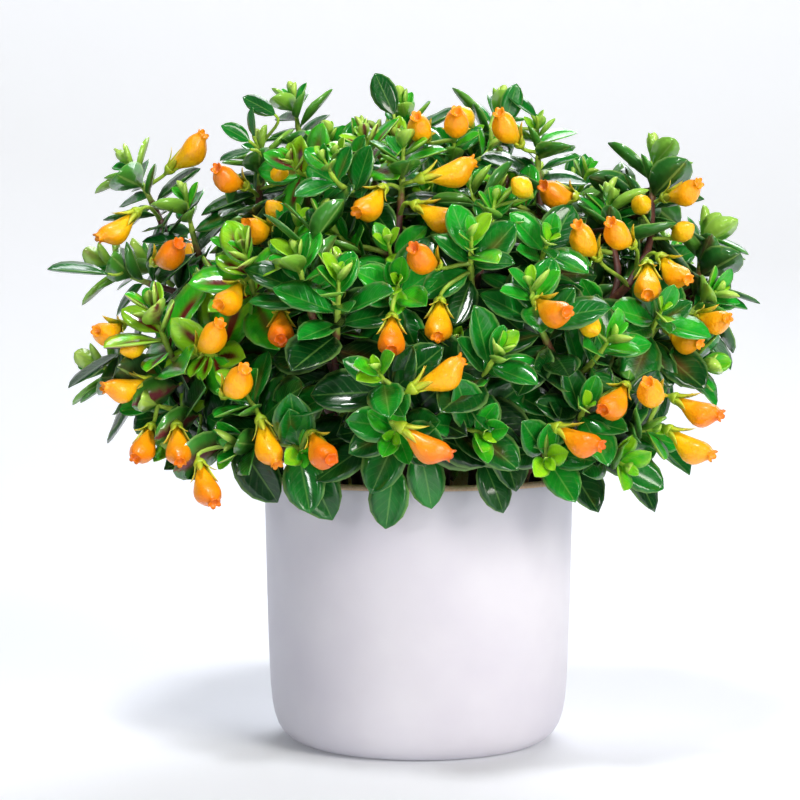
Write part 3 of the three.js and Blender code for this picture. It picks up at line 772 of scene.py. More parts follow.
@dataclass
class Foliage:
    """All the leaves of the plant: those of the part's solids, and the ones that fill out the head.

    Attributes:
        match, probes: How near a leaf of the solids must be, and where on it that is tried.
        eager: How many bends an added leaf tries.
        flushed, fading: Share of its age and flush of a flushed shoot's young leaf, and of its older one.
        shade: How much older leaves are low down, and between which heights.
        fullness: Draws under the first are full leaves, and under the second drooped ones.
        skirt: How low leaves hang, and how far this rises at the front, at random and at the sides.
    """

    habit: LeafHabit = field(default_factory=LeafHabit)
    room: Room = field(default_factory=Room)
    match: float = 1.6
    air: float = 2.4
    window: float = 0.35
    probes: tuple[Pair, ...] = ((0.56, 0), (1, 0), (0.4, -1), (0.4, 1), (0.78, 0.82))
    eager: int = 11
    young: int = 2
    flushed: Pair = (0.14, 1.3)
    fading: Pair = (0.4, 0.8)
    blush: Pair = (0.25, 0.5)
    shade: Triple = (0.22, 115, 190)
    slim: Pair = (0.57, 0.09)
    fullness: Pair = (0.5, 0.76)
    skirt: tuple[float, float, float, float] = (101, 16, 5, 20)

    def dressed(self, leaf: Leaf, habit: LeafHabit, twig: Twig, pair: int, side: int) -> Leaf:
        """Settles a leaf's age, tint, flush, width and form.

        Args:
            leaf: The leaf.
            habit: The habit it grows by.
            twig: Its shoot.
            pair: Its pair, counted from the tip.
            side: Its side of the shoot.

        Returns:
            The same leaf.
        """
        keys = (*twig.keys, pair + 40 + habit.salt, side)
        most, low, high = self.shade
        shade = most * (1 - smooth(low, high, leaf.root.z)) if pair else 0.0
        leaf.age = min(1.0, max(0.0, habit.ages[pair] + shade + spread(0.1, *keys, 1)))
        leaf.tint = draw(*keys, 2)
        if twig.flushed:
            share, leaf.flush = self.flushed if pair <= self.young else self.fading
            leaf.age *= share
        elif draw(*keys, 3) < self.blush[0]:
            leaf.flush = self.blush[1] * draw(*keys, 4)
        slim, varied = self.slim
        leaf.width = leaf.length * (slim - 0.0004 * habit.salt + varied * draw(*keys, 5))
        choice = draw(*keys, 6)
        full, drooped = self.fullness
        if pair == 0:
            leaf.kind = LeafKind.YOUNG
        elif choice < full or pair == 1:
            leaf.kind = LeafKind.FULL
        else:
            leaf.kind = LeafKind.DROOPED if choice < drooped else LeafKind.WAVED
        return leaf

    def from_solid(self, twig: Twig, pair: int, side: int, solid: BVHTree) -> Leaf | None:
        """The leaf of the part's solids on this spot, if the solids have one here.

        Args:
            twig: The shoot.
            pair: Its pair, counted from the tip.
            side: Its side of the shoot.
            solid: The stem's solid, in metres.

        Returns:
            The leaf, bent as its solid is, or None.
        """
        best, error = None, self.match
        for bend in BENDS:
            leaf = self.habit.place(twig, pair, side, bend)
            miss = max(solid.find_nearest(leaf.spot(*probe) * MM)[3] for probe in self.probes) / MM
            if miss < error:
                best, error = leaf, miss
        return best

    def extra(self, habit: LeafHabit, twig: Twig, pair: int, side: int) -> Leaf | None:
        """A further leaf on a shoot, where there is room for one.

        Args:
            habit: The habit it grows by.
            twig: The shoot.
            pair: Its pair, counted from the tip.
            side: Its side of the shoot.

        Returns:
            The leaf, or None.
        """
        lowest, front, varied, sides = self.skirt
        for bend in BENDS[:self.eager]:
            leaf = habit.place(twig, pair, side, bend)
            low = lowest + front * smooth(-20, -70, leaf.root.y) + varied * draw(*twig.keys, pair, side, 9)
            low += sides * smooth(70, 96, abs(leaf.root.x))
            if min(point.z for point in leaf.samples()) < low:
                continue
            if self.room.free(leaf.samples()):
                leaf.roll(self.window)
                return leaf
        return None

    def bud_pair(self, twig: Twig) -> list[Leaf]:
        """The two small leaves that are just opening at a shoot's tip.

        Args:
            twig: The shoot.

        Returns:
            The two leaves.
        """
        point, way, across = twig.frame(0.4)
        leaves = []
        for side in (1, 3):
            outward = turned(across, way, 90 * side + spread(12, *twig.keys, side, 70))
            lift = math.radians(64 + spread(10, *twig.keys, side, 71))
            along = outward * math.cos(lift) + way * math.sin(lift)
            face = (way * math.cos(lift) - outward * math.sin(lift)).normalized()
            length = 6.5 + 3 * draw(*twig.keys, side, 72)
            leaf = Leaf(point, along, face, length, length * 0.56, kind=LeafKind.YOUNG)
            leaf.age, leaf.tint = 0.0, draw(*twig.keys, side, 73)
            leaf.flush = 0.8 if twig.flushed else 0.0
            leaves.append(leaf)
        return leaves

    def grow(self, twigs: Sequence[Twig], solids: Sequence[BVHTree | None]) -> list[list[Leaf]]:
        """The leaves of each shoot.

        Args:
            twigs: The shoots.
            solids: For each shoot its stem's solid, or None for a shoot that only fills out the head.

        Returns:
            One list of leaves for each shoot.
        """
        grown: list[list[Leaf]] = [self.bud_pair(twig) for twig in twigs]
        for habit in (self.habit, CROWDED, BETWEEN):
            for pair in range(len(habit.steps)):
                for twig, solid, leaves in zip(twigs, solids, grown):
                    if (habit is CROWDED) != (solid is None):
                        continue
                    if pair >= twig.pairs + twig.extra or habit.steps[pair] > twig.route.length - 5:
                        continue
                    for side in (pair % 2, 2 + pair % 2):
                        if habit is self.habit and pair < twig.pairs:
                            leaf = self.from_solid(twig, pair, side, solid)
                        else:
                            leaf = self.extra(habit, twig, pair, side)
                        if leaf is None:
                            continue
                        self.room.take(leaf.samples(), self.air)
                        leaves.append(self.dressed(leaf, habit, twig, pair, side))
        return grown


# ---- Meshes ----


def make_mesh(name: str, points: Sequence[Vector | Triple], faces: Sequence[Face], soft: bool = True) -> Mesh:
    """A mesh from its points and its outward faces.

    Args:
        name: The mesh's name.
        points: Its points.
        faces: The places of each face's corners among the points.
        soft: Whether it is shaded smooth.

    Returns:
        The mesh.
    """
    mesh = bpy.data.meshes.new(name)
    mesh.from_pydata([tuple(point) for point in points], [], faces)
    mesh.polygons.foreach_set("use_smooth", [soft] * len(mesh.polygons))
    mesh.update()
    return mesh


def set_values(
    mesh: Mesh, name: str, values: Iterable[Any], kind: str = "FLOAT", domain: str = "POINT", part: str = "value",
) -> None:
    """Writes a value of some kind for each point or face of a mesh."""
    mesh.attributes.new(name, kind, domain).data.foreach_set(part, list(values))


def set_uv(mesh: Mesh, spots: Sequence[Pair]) -> None:
    """Gives a mesh a UV map.

    Args:
        mesh: The mesh.
        spots: Where each of its points lies on the map.
    """
    layer = mesh.uv_layers.new(name="UVMap")
    corners = [0] * len(mesh.loops)
    mesh.loops.foreach_get("vertex_index", corners)
    layer.data.foreach_set("uv", [value for corner in corners for value in spots[corner]])


def tube_faces(first: int, sides: int, rings: int) -> list[Face]:
    """The faces of a closed tube that runs up from ring to ring.

    Args:
        first: The place of its first point.
        sides: Points of each ring.
        rings: How many rings it has.

    Returns:
        The walls, then the two ends.
    """
    faces: list[Face] = []
    for level in range(first, first + (rings - 1) * sides, sides):
        for side in range(sides):
            a, b = level + side, level + (side + 1) % sides
            faces.append((a, b, b + sides, a + sides))
    last = first + (rings - 1) * sides
    return [*faces, tuple(reversed(range(first, first + sides))), tuple(range(last, last + sides))]


def round_steps(sides: int) -> list[Triple]:
    """For each side of a ring its share of the way round, and its cosine and sine."""
    turns = [2 * math.pi * side / sides for side in range(sides)]
    return [(side / sides, math.cos(turn), math.sin(turn)) for side, turn in enumerate(turns)]


def leaf_mesh(kind: LeafKind) -> Mesh:
    """One form of leaf, a unit long and a unit wide, with its root at the origin.

    Args:
        kind: The form.

    Returns:
        A closed blade along +Y that looks up along +Z, marked "underside" on its lower skin.
    """
    form = LEAF_FORMS[kind]
    columns = (-1.0, -0.55, 0.0, 0.55, 1.0)
    points: list[Triple] = []
    spots: list[Pair] = []
    for share, half in form.outline:
        for across in columns:
            size = abs(across * half)
            height = form.fold * size - form.curl * size ** 3 - form.droop * share * share
            height += form.groove * (smooth(0.0, 0.5, size) - 1) * half
            height += form.wave * math.sin(11 * share + 2 * across) * size
            points.append((across * half / 2 + form.sway * share * share, share, height))
            spots.append(((across + 1) / 2, share))
    rows, width = len(form.outline), len(columns)
    for row, (share, half) in enumerate(form.outline):
        x, y, height = points[row * width + width // 2]
        points.append((x, y, height - form.thickness * (0.35 + 0.65 * half)))
        spots.append((0.5, share))
    faces: list[Face] = []
    marks: list[float] = []
    for row in range(rows - 1):
        left, right, keel = row * width, row * width + width - 1, rows * width + row
        faces += [(left + column, left + column + 1, left + column + 1 + width, left + column + width)
                  for column in range(width - 1)]
        faces += [(left, left + width, keel + 1, keel), (keel, keel + 1, right + width, right)]
        marks += [0.0] * (width - 1) + [1.0] * 2
    end = (rows - 1) * width
    faces += [(*reversed(range(width)), rows * width), (*range(end, end + width), rows * width + rows - 1)]
    marks += [0.0, 0.0]
    mesh = make_mesh(f"leaf_{kind.value}_{kind.name.lower()}", points, faces)
    set_uv(mesh, spots)
    set_values(mesh, "underside", marks, domain="FACE")
    return mesh


def hidden_collection(name: str, meshes: Sequence[Mesh]) -> bpy.types.Collection:
    """A collection of templates that is in no scene.

    Args:
        name: Its name.
        meshes: The templates, in the order that the trees pick from.

    Returns:
        The collection.
    """
    collection = bpy.data.collections.new(name)
    for order, mesh in enumerate(meshes):
        collection.objects.link(bpy.data.objects.new(f"{name}_{order}", mesh))
    return collection


def shown(name: str, data: bpy.types.ID) -> Piece:
    """A mesh, a lamp or a camera as an object in the scene.

    Args:
        name: The object's name.
        data: What it shows.

    Returns:
        The object.
    """
    piece = bpy.data.objects.new(name, data)
    bpy.context.scene.collection.objects.link(piece)
    return piece


def settle(piece: Piece, node: str) -> None:
    """Fixes a piece to the part.

    Args:
        piece: The piece.
        node: The solid that it stands for.
    """
    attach(piece, "root")
    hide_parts(node)
    LOG.info("%s: %d faces", piece.name, len(piece.data.polygons))


def stem_node(index: int) -> str:
    """The name of a stem's solid."""
    return f"stem_{index + 1:02d}"


# ---- Trees that plant and bind ----


@dataclass
class GrowTree:
    """A geometry tree that turns a mesh into a plain piece, with the identifier of each of its inputs."""

    tree: bpy.types.NodeTree = field(init=False)
    sockets: dict[str, str] = field(init=False)

    def open(self, name: str, inputs: dict[str, str]) -> Any:
        """Starts the tree.

        Args:
            name: The tree's name.
            inputs: The kind of each input, by its name.

        Returns:
            The inputs inside the tree, by name.
        """
        self.tree = bpy.data.node_groups.new(name, "GeometryNodeTree")
        face = self.tree.interface
        for way in ("INPUT", "OUTPUT"):
            face.new_socket("Geometry", in_out=way, socket_type="NodeSocketGeometry")
        self.sockets = {
            key: face.new_socket(key, in_out="INPUT", socket_type=f"NodeSocket{kind}").identifier
            for key, kind in inputs.items()}
        return add(self.tree, "NodeGroupInput").outputs

    def read(self, **names: str) -> list[Socket]:
        """The values that the mesh carries under some names, each with its kind."""
        return [add(self.tree, "GeometryNodeInputNamedAttribute", {"Name": name}, data_type=kind).outputs["Attribute"]
                for name, kind in names.items()]

    def run(self, name: str, mesh: Mesh, values: dict[str, Any]) -> Piece:
        """Runs the tree on a mesh and keeps the result as a plain piece.

        Args:
            name: The piece's name.
            mesh: What the tree starts from.
            values: A value for each input, by its name.

        Returns:
            The piece, in metres, with no modifier left on it.
        """
        start = shown(f"{name}_start", mesh)
        modifier = start.modifiers.new("grow", "NODES")
        modifier.node_group = self.tree
        for key, value in values.items():
            modifier[self.sockets[key]] = value
        graph = bpy.context.evaluated_depsgraph_get()
        graph.update()
        result = bpy.data.meshes.new_from_object(start.evaluated_get(graph), depsgraph=graph)
        result.name = name
        bpy.data.objects.remove(start)
        return shown(name, result)


@dataclass
class Spot:
    """Where a template goes in millimetres, its Euler angles, its size in metres along its own axes, and which it is.

    Its finish reads its age, the strength of its red-brown flush and its tint, a draw from 0 to 1.
    """

    point: Vector
    turn: Triple
    size: Triple
    kind: int = 0
    age: float = 0.5
    flush: float = 0.0
    tint: float = 0.5


@dataclass
class Planter(GrowTree):
    """The tree that sets a template on each point, turned and sized."""

    def __post_init__(self) -> None:
        """Builds the tree, with its templates and two finishes as named inputs."""
        given = self.open("Set a template on each point", {
            "Templates": "Collection", "Finish": "Material", "Back Finish": "Material"})
        kind, turn, size, underside = self.read(
            kind="INT", turn="FLOAT_VECTOR", size="FLOAT_VECTOR", underside="FLOAT")
        picked = add(self.tree, "GeometryNodeCollectionInfo", {
            "Collection": given["Templates"], "Separate Children": True, "Reset Children": True})
        placed = add(self.tree, "GeometryNodeInstanceOnPoints", {
            "Points": given["Geometry"], "Instance": picked.outputs["Instances"], "Pick Instance": True,
            "Instance Index": kind, "Rotation": turn, "Scale": size})
        real = add(self.tree, "GeometryNodeRealizeInstances", {"Geometry": placed.outputs["Instances"]})
        front = add(self.tree, "GeometryNodeSetMaterial", {
            "Geometry": real.outputs["Geometry"], "Material": given["Finish"]})
        under = add(self.tree, "FunctionNodeCompare", {0: underside, 1: 0.5}, operation="GREATER_THAN")
        back = add(self.tree, "GeometryNodeSetMaterial", {
            "Geometry": front.outputs["Geometry"], "Selection": under.outputs["Result"],
            "Material": given["Back Finish"]})
        add(self.tree, "NodeGroupOutput", {"Geometry": back.outputs["Geometry"]})

    def plant(
        self, name: str, spots: Sequence[Spot], templates: bpy.types.Collection, finish: Material,
        back_finish: Material | None = None,
    ) -> Piece:
        """Makes one piece from templates set on its spots.

        Args:
            name: The piece's name.
            spots: Where each template goes.
            templates: The templates to pick from.
            finish: The finish of the piece.
            back_finish: The finish of faces marked "underside", where it differs.

        Returns:
            The piece.
        """
        mesh = bpy.data.meshes.new(name)
        mesh.from_pydata([tuple(spot.point * MM) for spot in spots], [], [])
        for key in ("turn", "size"):
            values = [value for spot in spots for value in getattr(spot, key)]
            set_values(mesh, key, values, "FLOAT_VECTOR", part="vector")
        for key, kind in (("kind", "INT"), ("age", "FLOAT"), ("flush", "FLOAT"), ("tint", "FLOAT")):
            set_values(mesh, key, [getattr(spot, key) for spot in spots], kind)
        return self.run(name, mesh, {
            "Templates": templates, "Finish": finish, "Back Finish": back_finish or finish})


@dataclass
class Strand:
    """A length of stem, shoot or stalk: its points, and at each its radius and its age, 0 for soft green."""

    points: list[Vector]
    girths: list[float]
    ages: list[float]


@dataclass
class Binder(GrowTree):
    """The tree that gives each strand its round, closed skin, with a number of sides."""

    sides: int = 9

    def __post_init__(self) -> None:
        """Builds the tree, with its sides and its finish as named inputs."""
        given = self.open("Round each strand", {"Sides": "Int", "Finish": "Material"})
        girth, = self.read(girth="FLOAT")
        line = add(self.tree, "GeometryNodeMeshToCurve", {"Mesh": given["Geometry"]})
        section = add(self.tree, "GeometryNodeCurvePrimitiveCircle", {"Resolution": given["Sides"], "Radius": 1.0})
        skin = add(self.tree, "GeometryNodeCurveToMesh", {
            "Curve": line.outputs["Curve"], "Profile Curve": section.outputs["Curve"], "Scale": girth,
            "Fill Caps": True})
        soft = add(self.tree, "GeometryNodeSetShadeSmooth", {"Geometry": skin.outputs["Mesh"]})
        real = add(self.tree, "GeometryNodeRealizeInstances", {"Geometry": soft.outputs["Geometry"]})
        done = add(self.tree, "GeometryNodeSetMaterial", {
            "Geometry": real.outputs["Geometry"], "Material": given["Finish"]})
        add(self.tree, "NodeGroupOutput", {"Geometry": done.outputs["Geometry"]})

    def bind(self, name: str, strands: Sequence[Strand], finish: Material) -> Piece:
        """Makes one piece from its strands.

        Args:
            name: The piece's name.
            strands: The strands that it is made of.
            finish: Its finish.

        Returns:
            The piece.
        """
        mesh = bpy.data.meshes.new(name)
        points, edges = [], []
        for strand in strands:
            edges += [(step, step + 1) for step in range(len(points), len(points) + len(strand.points) - 1)]
            points += [tuple(point * MM) for point in strand.points]
        mesh.from_pydata(points, edges, [])
        set_values(mesh, "girth", [girth * MM for strand in strands for girth in strand.girths])
        set_values(mesh, "age", [age for strand in strands for age in strand.ages])
        return self.run(name, mesh, {"Sides": self.sides, "Finish": finish})


# ---- Stems and head ----


@dataclass(frozen=True)
class Dome:
    """The rounded head that the foliage fills.

    Attributes:
        power: How square its shoulders are.
        rises, depths: The least rise of a tip's direction and its least depth, and how far they vary.
    """

    centre: Triple = (-2.0, 2.0, 184.0)
    reach: Triple = (114.0, 102.0, 80.0)
    power: float = 2.2
    lowest: float = 124.0
    rises: Pair = (-0.9, 1.9)
    depths: Pair = (0.3, 0.67)
    outward: float = 0.7

    def depth(self, point: Vector) -> float:
        """0 at the middle of the dome, 1 on its skin."""
        shares = [abs(value - middle) / half for value, middle, half in zip(point, self.centre, self.reach)]
        return sum(share ** self.power for share in shares) ** (1 / self.power)

    def spot(self, index: int) -> Vector:
        """One of a repeatable set of points spread through the dome's outer part.

        Args:
            index: Which one.

        Returns:
            The point.
        """
        azimuth = 2 * math.pi * draw(index, 501)
        rise = self.rises[1] * draw(index, 502) + self.rises[0]
        level = math.sqrt(1 - rise * rise)
        way = Vector((level * math.cos(azimuth), level * math.sin(azimuth), rise))
        depth = self.depths[0] + self.depths[1] * draw(index, 503) ** self.outward
        point = Vector((c + w * r for c, w, r in zip(self.centre, way, self.reach)))
        middle = Vector(self.centre)
        return middle + (point - middle) * (depth / self.depth(point))


@dataclass
class Head:
    """The stems, shoots and leaves of the plant.

    Attributes:
        solids: The surface of each stem's solid, in metres.
        fillers, tries: The most shoots that are added, and how many places are tried.
        owners: For each shoot its stem's place in the list of stems.
    """

    solids: list[BVHTree]
    foliage: Foliage = field(default_factory=Foliage)
    dome: Dome = field(default_factory=Dome)
    fillers: int = 260
    tries: int = 5000
    air: float = 2.2
    reaches: Pair = (16, 85)
    fewest: int = 5
    flushed: float = 0.2
    vigour: Pair = (0.92, 0.12)
    slim: float = 0.92
    stem_routes: list[Route] = field(default_factory=list)
    twigs: list[Twig] = field(default_factory=list)
    owners: list[int] = field(default_factory=list)
    strands: list[list[Strand]] = field(default_factory=list)
    leaves: list[list[Leaf]] = field(default_factory=list)

    def __post_init__(self) -> None:
        """Lays out the stems and their own shoots."""
        self.strands = [[] for _ in STEMS]
        self.leaves = [[] for _ in STEMS]
        for number, stem in enumerate(STEMS):
            route = HABIT.stem_route(stem)
            self.stem_routes.append(route)
            self.strands[number].append(self.wood(route))
            for index, shoot in enumerate(stem.shoots):
                twig = Twig(HABIT.shoot_route(stem, index), (number + 1, index), shoot[4])
                twig.flushed = (number + 1, index + 1) in FLUSHED
                self.twigs.append(twig)
                self.owners.append(number)

    @staticmethod
    def wood(route: Route) -> Strand:
        """A stem's old wood, thick at the foot.

        Args:
            route: The stem's route.

        Returns:
            The strand.
        """
        points = route.softened()
        last = len(points) - 1
        girths = [2.5 - 0.75 * step / last + spread(0.08, step, 31) for step in range(last + 1)]
        return Strand(points, girths, [1.0 - 0.35 * step / last for step in range(last + 1)])

    def young_wood(self, twig: Twig, thin: float = 1.0) -> Strand:
        """A shoot's own wood, swollen where its pairs of leaves stand.

        Args:
            twig: The shoot.
            thin: Its thickness against the usual.

        Returns:
            The strand, in runs of under 2 mm.
        """
        route = Route(twig.route.softened())
        count = max(14, int(route.length / 1.6))
        points, girths, ages = [], [], []
        for step in range(count + 1):
            below = route.length * (1 - step / count)
            points.append(route.back(min(below, route.length - 1e-4))[0])
            # Thin and soft at the tip, thicker and barked further down.
            girth = 0.75 + 0.62 * smooth(0, 28, below) + 0.3 * smooth(28, 90, below)
            knot = max(math.exp(-((below - place) / 1.3) ** 2) for place in self.foliage.habit.steps)
            girths.append(thin * (girth + 0.28 * knot * smooth(1, 6, below)))
            ages.append(0.05 + 0.8 * smooth(10, 34, below) + spread(0.05, step, *twig.keys))
        return Strand(points, girths, ages)

    def wood_near(self, stem: int, target: Vector) -> Vector:
        """The point on a stem's wood that lies nearest to a target."""
        routes = [self.stem_routes[stem], *(t.route for t, o in zip(self.twigs, self.owners) if o == stem)]
        return min((route.nearest(target, HABIT.below) for route in routes), key=lambda p: (p - target).length)

    def fill_out(self) -> None:
        """Adds shoots inside the dome wherever it is bare, each from the nearest wood."""
        added = 0
        own = list(zip(self.stem_routes, range(len(STEMS)))) + [
            (twig.route, owner) for twig, owner in zip(self.twigs, self.owners)]
        for index in range(self.tries):
            if added >= self.fillers:
                break
            tip = self.dome.spot(index)
            if tip.z < self.dome.lowest or not self.foliage.room.free([tip], self.air):
                continue
            if any(math.hypot(tip.x - x, tip.z - z) < radius for x, z, radius in OPEN_SPOTS):
                continue
            # It leaves the wood from a little under its tip, and is steeper the higher that tip is.
            near = [(route.nearest(tip - UP * 12, HABIT.below), owner) for route, owner in own]
            start, owner = min(near, key=lambda pair: (pair[0] - tip).length)
            if not self.reaches[0] < (tip - start).length < self.reaches[1]:
                continue
            away = Vector((tip.x, tip.y, 0)).normalized()
            steep = smooth(0.0, 0.9, (tip.z - self.dome.lowest) / 130)
            lean = (away * (1.1 - steep) + UP * (0.25 + steep)).normalized()
            way = ((tip - start).normalized() + UP * 0.5).normalized()
            twig = Twig(HABIT.run(start, way, tip, lean), (60 + added, owner), 0, extra=8)
            twig.flushed = draw(index, 77) < self.flushed
            twig.vigour = self.vigour[0] + self.vigour[1] * draw(index, 78)
            grown = self.foliage.grow([twig], [None])[0]
            if len(grown) < self.fewest:
                continue
            self.strands[owner].append(self.young_wood(twig, self.slim))
            self.leaves[owner] += grown
            added += 1
        LOG.info("%d shoots fill out the head", added)

    def stalk(self, stem: int, end: Vector, way: Vector, girth: float) -> None:
        """Adds a stalk that curves from a stem's wood into what it carries.

        Args:
            stem: The stem's place in the list.
            end: Where the stalk ends.
            way: The way it goes there.
            girth: Its radius.
        """
        wood = self.wood_near(stem, end)
        reach = (end - wood).length
        rise = ((end - wood).normalized() + UP * 0.25).normalized()
        points = bezier((wood, wood + rise * reach * 0.35, end - way * reach * 0.3, end), 7)
        ages = [0.3 - 0.25 * step / 7 for step in range(8)]
        self.strands[stem].append(Strand(points, [girth * (1.15 - 0.03 * step) for step in range(8)], ages))

    def single_leaves(self) -> None:
        """Adds the leaves that are placed one by one, each on a stalk of its own."""
        for index, (root, tip, age) in enumerate(SINGLE_LEAVES + TURNED_LEAVES):
            start, end = Vector(root), Vector(tip)
            over = index >= len(SINGLE_LEAVES)
            stem = min(range(len(STEMS)), key=lambda number: (self.wood_near(number, start) - start).length)
            along = (end - start).normalized()
            face = UP * 0.5 + (BACK if over else self.foliage.habit.out_of(start) * 0.8)
            face = (face - along * face.dot(along)).normalized()
            length = (end - start).length + 2
            width = length * (0.53 + 0.1 * draw(index, 61))
            leaf = Leaf(start, along, face, length, width, age, float(over), draw(index, 62))
            leaf.kind = LeafKind.DROOPED if draw(index, 63) < 0.4 else LeafKind.FULL
            self.leaves[stem].append(leaf)
            self.foliage.room.take(leaf.samples(), self.foliage.air)
            self.stalk(stem, start + along * 0.5, along, 0.65)

    def grow(self) -> None:
        """Grows the leaves of the stems' own shoots, then of the ones that fill out the head."""
        self.single_leaves()
        solids = [self.solids[owner] for owner in self.owners]
        for twig, owner, leaves in zip(self.twigs, self.owners, self.foliage.grow(self.twigs, solids)):
            self.strands[owner].append(self.young_wood(twig))
            self.leaves[owner] += leaves
        self.fill_out()
        LOG.info("%d leaves", sum(len(leaves) for leaves in self.leaves))

    def spots(self, stem: int) -> list[Spot]:
        """Where each leaf of a stem goes.

        Args:
            stem: The stem's place in the list.

        Returns:
            One spot for each leaf.
        """
        return [
            Spot(leaf.root - leaf.along * 0.8, leaf.turn(), (leaf.width * MM, leaf.length * MM, leaf.width * MM),
                 leaf.kind.value, leaf.age, leaf.flush, leaf.tint)
            for leaf in self.leaves[stem]
        ]


# ---- Flowers ----


@dataclass
class Flower:
    """One bloom: the top of its calyx, the middle of its mouth, and its tint, 1 for deep orange."""

    calyx: Vector
    mouth: Vector
    tint: float

    @property
    def axis(self) -> Vector:
        """The way the flower points."""
        return (self.mouth - self.calyx).normalized()

    def turn(self) -> Triple:
        """Euler angles that point +Z along the flower and +X to its hanging belly."""
        belly = (-UP + self.axis * self.axis.z).normalized()
        return tuple(Matrix((belly, self.axis.cross(belly), self.axis)).transposed().to_euler())

    def samples(self) -> list[Vector]:
        """Points along the flower, for keeping leaves off it."""
        return [self.calyx.lerp(self.mouth, share) for share in (0.15, 0.5, 0.75, 1.0)]


@dataclass(frozen=True)
class BloomShape:
    """The pouched corolla, in shares of its length.

    Attributes:
        profile: How far along each ring is, and its radius.
        lips: The same for the mouth's rings, with how far the lobes flare and how far they stand out.
        bend, belly: How far its middle is bent towards its belly, and how much more the wide rings are.
    """

    sides: int = 20
    profile: tuple[Pair, ...] = (
        (0.0, 0.062), (0.08, 0.076), (0.17, 0.108), (0.28, 0.155), (0.4, 0.204), (0.52, 0.242), (0.62, 0.258),
        (0.71, 0.254), (0.79, 0.228), (0.86, 0.182), (0.92, 0.132), (0.965, 0.112))
    lips: tuple[tuple[float, float, float, float], ...] = (
        (0.985, 0.116, 0.014, 0.02), (0.99, 0.108, 0.024, 0.045), (0.97, 0.085, 0.0, 0.0), (0.9, 0.05, 0.0, 0.0))
    seat: float = 0.35
    bend: float = 0.076
    belly: float = 0.28
    ribs: float = 0.035

    def mesh(self) -> Mesh:
        """Makes the corolla.

        Returns:
            Its mesh, a unit long, pointing along +Z, with its belly to +X and five small lobes.
        """
        points: list[Triple] = []
        spots: list[Pair] = []
        rings = [*((share, radius, 0.0, 0.0) for share, radius in self.profile), *self.lips]
        for share, radius, flare, rise in rings:
            bow = self.bend + self.belly * (radius - self.profile[0][1])
            shift = bow * math.sin(math.pi * min(1.0, share))
            for around, cosine, sine in round_steps(self.sides):
                angle = 2 * math.pi * around
                lobe = abs(math.cos(2.5 * angle)) ** 0.7
                rib = 1 - self.ribs * (1 - math.cos(5 * angle)) * smooth(0.2, 0.8, share)
                size = radius * rib + flare * lobe
                points.append((shift + size * cosine, size * sine, share + rise * lobe))
                spots.append((around, share))
        mesh = make_mesh("corolla", points, tube_faces(0, self.sides, len(rings)))
        set_uv(mesh, spots)
        return mesh


@dataclass(frozen=True)
class BudShape:
    """The closed bud: how far along each ring is and its radius, in shares of its length."""

    sides: int = 10
    profile: tuple[Pair, ...] = ((0.0, 0.14), (0.12, 0.26), (0.32, 0.36), (0.55, 0.37), (0.78, 0.24), (0.93, 0.1))

    def mesh(self) -> Mesh:
        """Makes the bud, with only the young half of a corolla's colours.

        Returns:
            Its mesh, a unit long, pointing along +Z.
        """
        steps = round_steps(self.sides)
        points = [(radius * cosine, radius * sine, share)
                  for share, radius in self.profile for _, cosine, sine in steps]
        spots = [(around, share * 0.5) for share, _ in self.profile for around, _, _ in steps]
        top = len(points)
        last = range(top - self.sides, top)
        faces = tube_faces(0, self.sides, len(self.profile))[:-1]
        faces += [(corner, last[(place + 1) % self.sides], top) for place, corner in enumerate(last)]
        mesh = make_mesh("closed_bud", [*points, (0.0, 0.0, 1.0)], faces)
        set_uv(mesh, [*spots, (0.5, 0.5)])
        return mesh


@dataclass(frozen=True)
class CalyxShape:
    """The green cup and its five pointed lobes, in millimetres.

    Attributes:
        stations, corners: Share of a lobe's length and width, and how far across and off its middle each point is.
    """

    sides: int = 10
    lobes: int = 5
    cup: tuple[Pair, ...] = (
        (-3.4, 0.8), (-2.6, 1.0), (-1.7, 1.7), (-0.7, 2.35), (0.4, 2.6), (1.1, 2.45), (0.9, 2.0), (-0.1, 1.45))
    stations: tuple[Pair, ...] = ((0.0, 0.75), (0.22, 1.0), (0.5, 0.86), (0.78, 0.5), (1.0, 0.06))
    corners: tuple[Pair, ...] = ((-1, 0.25), (0, 1.0), (1, 0.25), (0, -1.0))
    lobe_length: float = 9.0
    lobe_width: float = 3.3
    lean: float = 21.0
    thickness: float = 0.55

    def mesh(self) -> Mesh:
        """Makes the calyx.

        Returns:
            Its mesh, pointing along +Z, with its mouth at the origin.
        """
        points = [(radius * cosine, radius * sine, height)
                  for height, radius in self.cup for _, cosine, sine in round_steps(self.sides)]
        spots = [(0.5, max(0.0, (height + 3) / 16)) for _, _, height in points]
        faces = tube_faces(0, self.sides, len(self.cup))
        for _, cosine, sine in round_steps(self.lobes):
            out, side = Vector((cosine, sine, 0)), Vector((-sine, cosine, 0))
            faces += tube_faces(len(points), len(self.corners), len(self.stations))
            for share, wide in self.stations:
                lean = math.radians(self.lean * (0.35 + 0.9 * share))
                spine = out * (2.0 + self.lobe_length * share * math.sin(lean)) + UP * (
                    -0.2 + self.lobe_length * share * math.cos(lean * 0.8))
                thick = out * (self.thickness / 2 * (1 - 0.5 * share))
                half = self.lobe_width / 2 * wide
                for across, lift in self.corners:
                    cup = out * (-0.35 * half * across * across)
                    points.append(tuple(spine + side * half * across + thick * lift + cup))
                    spots.append(((across + 1) / 2, 0.25 + 0.75 * share))
        mesh = make_mesh("calyx", points, faces)
        set_uv(mesh, spots)
        return mesh


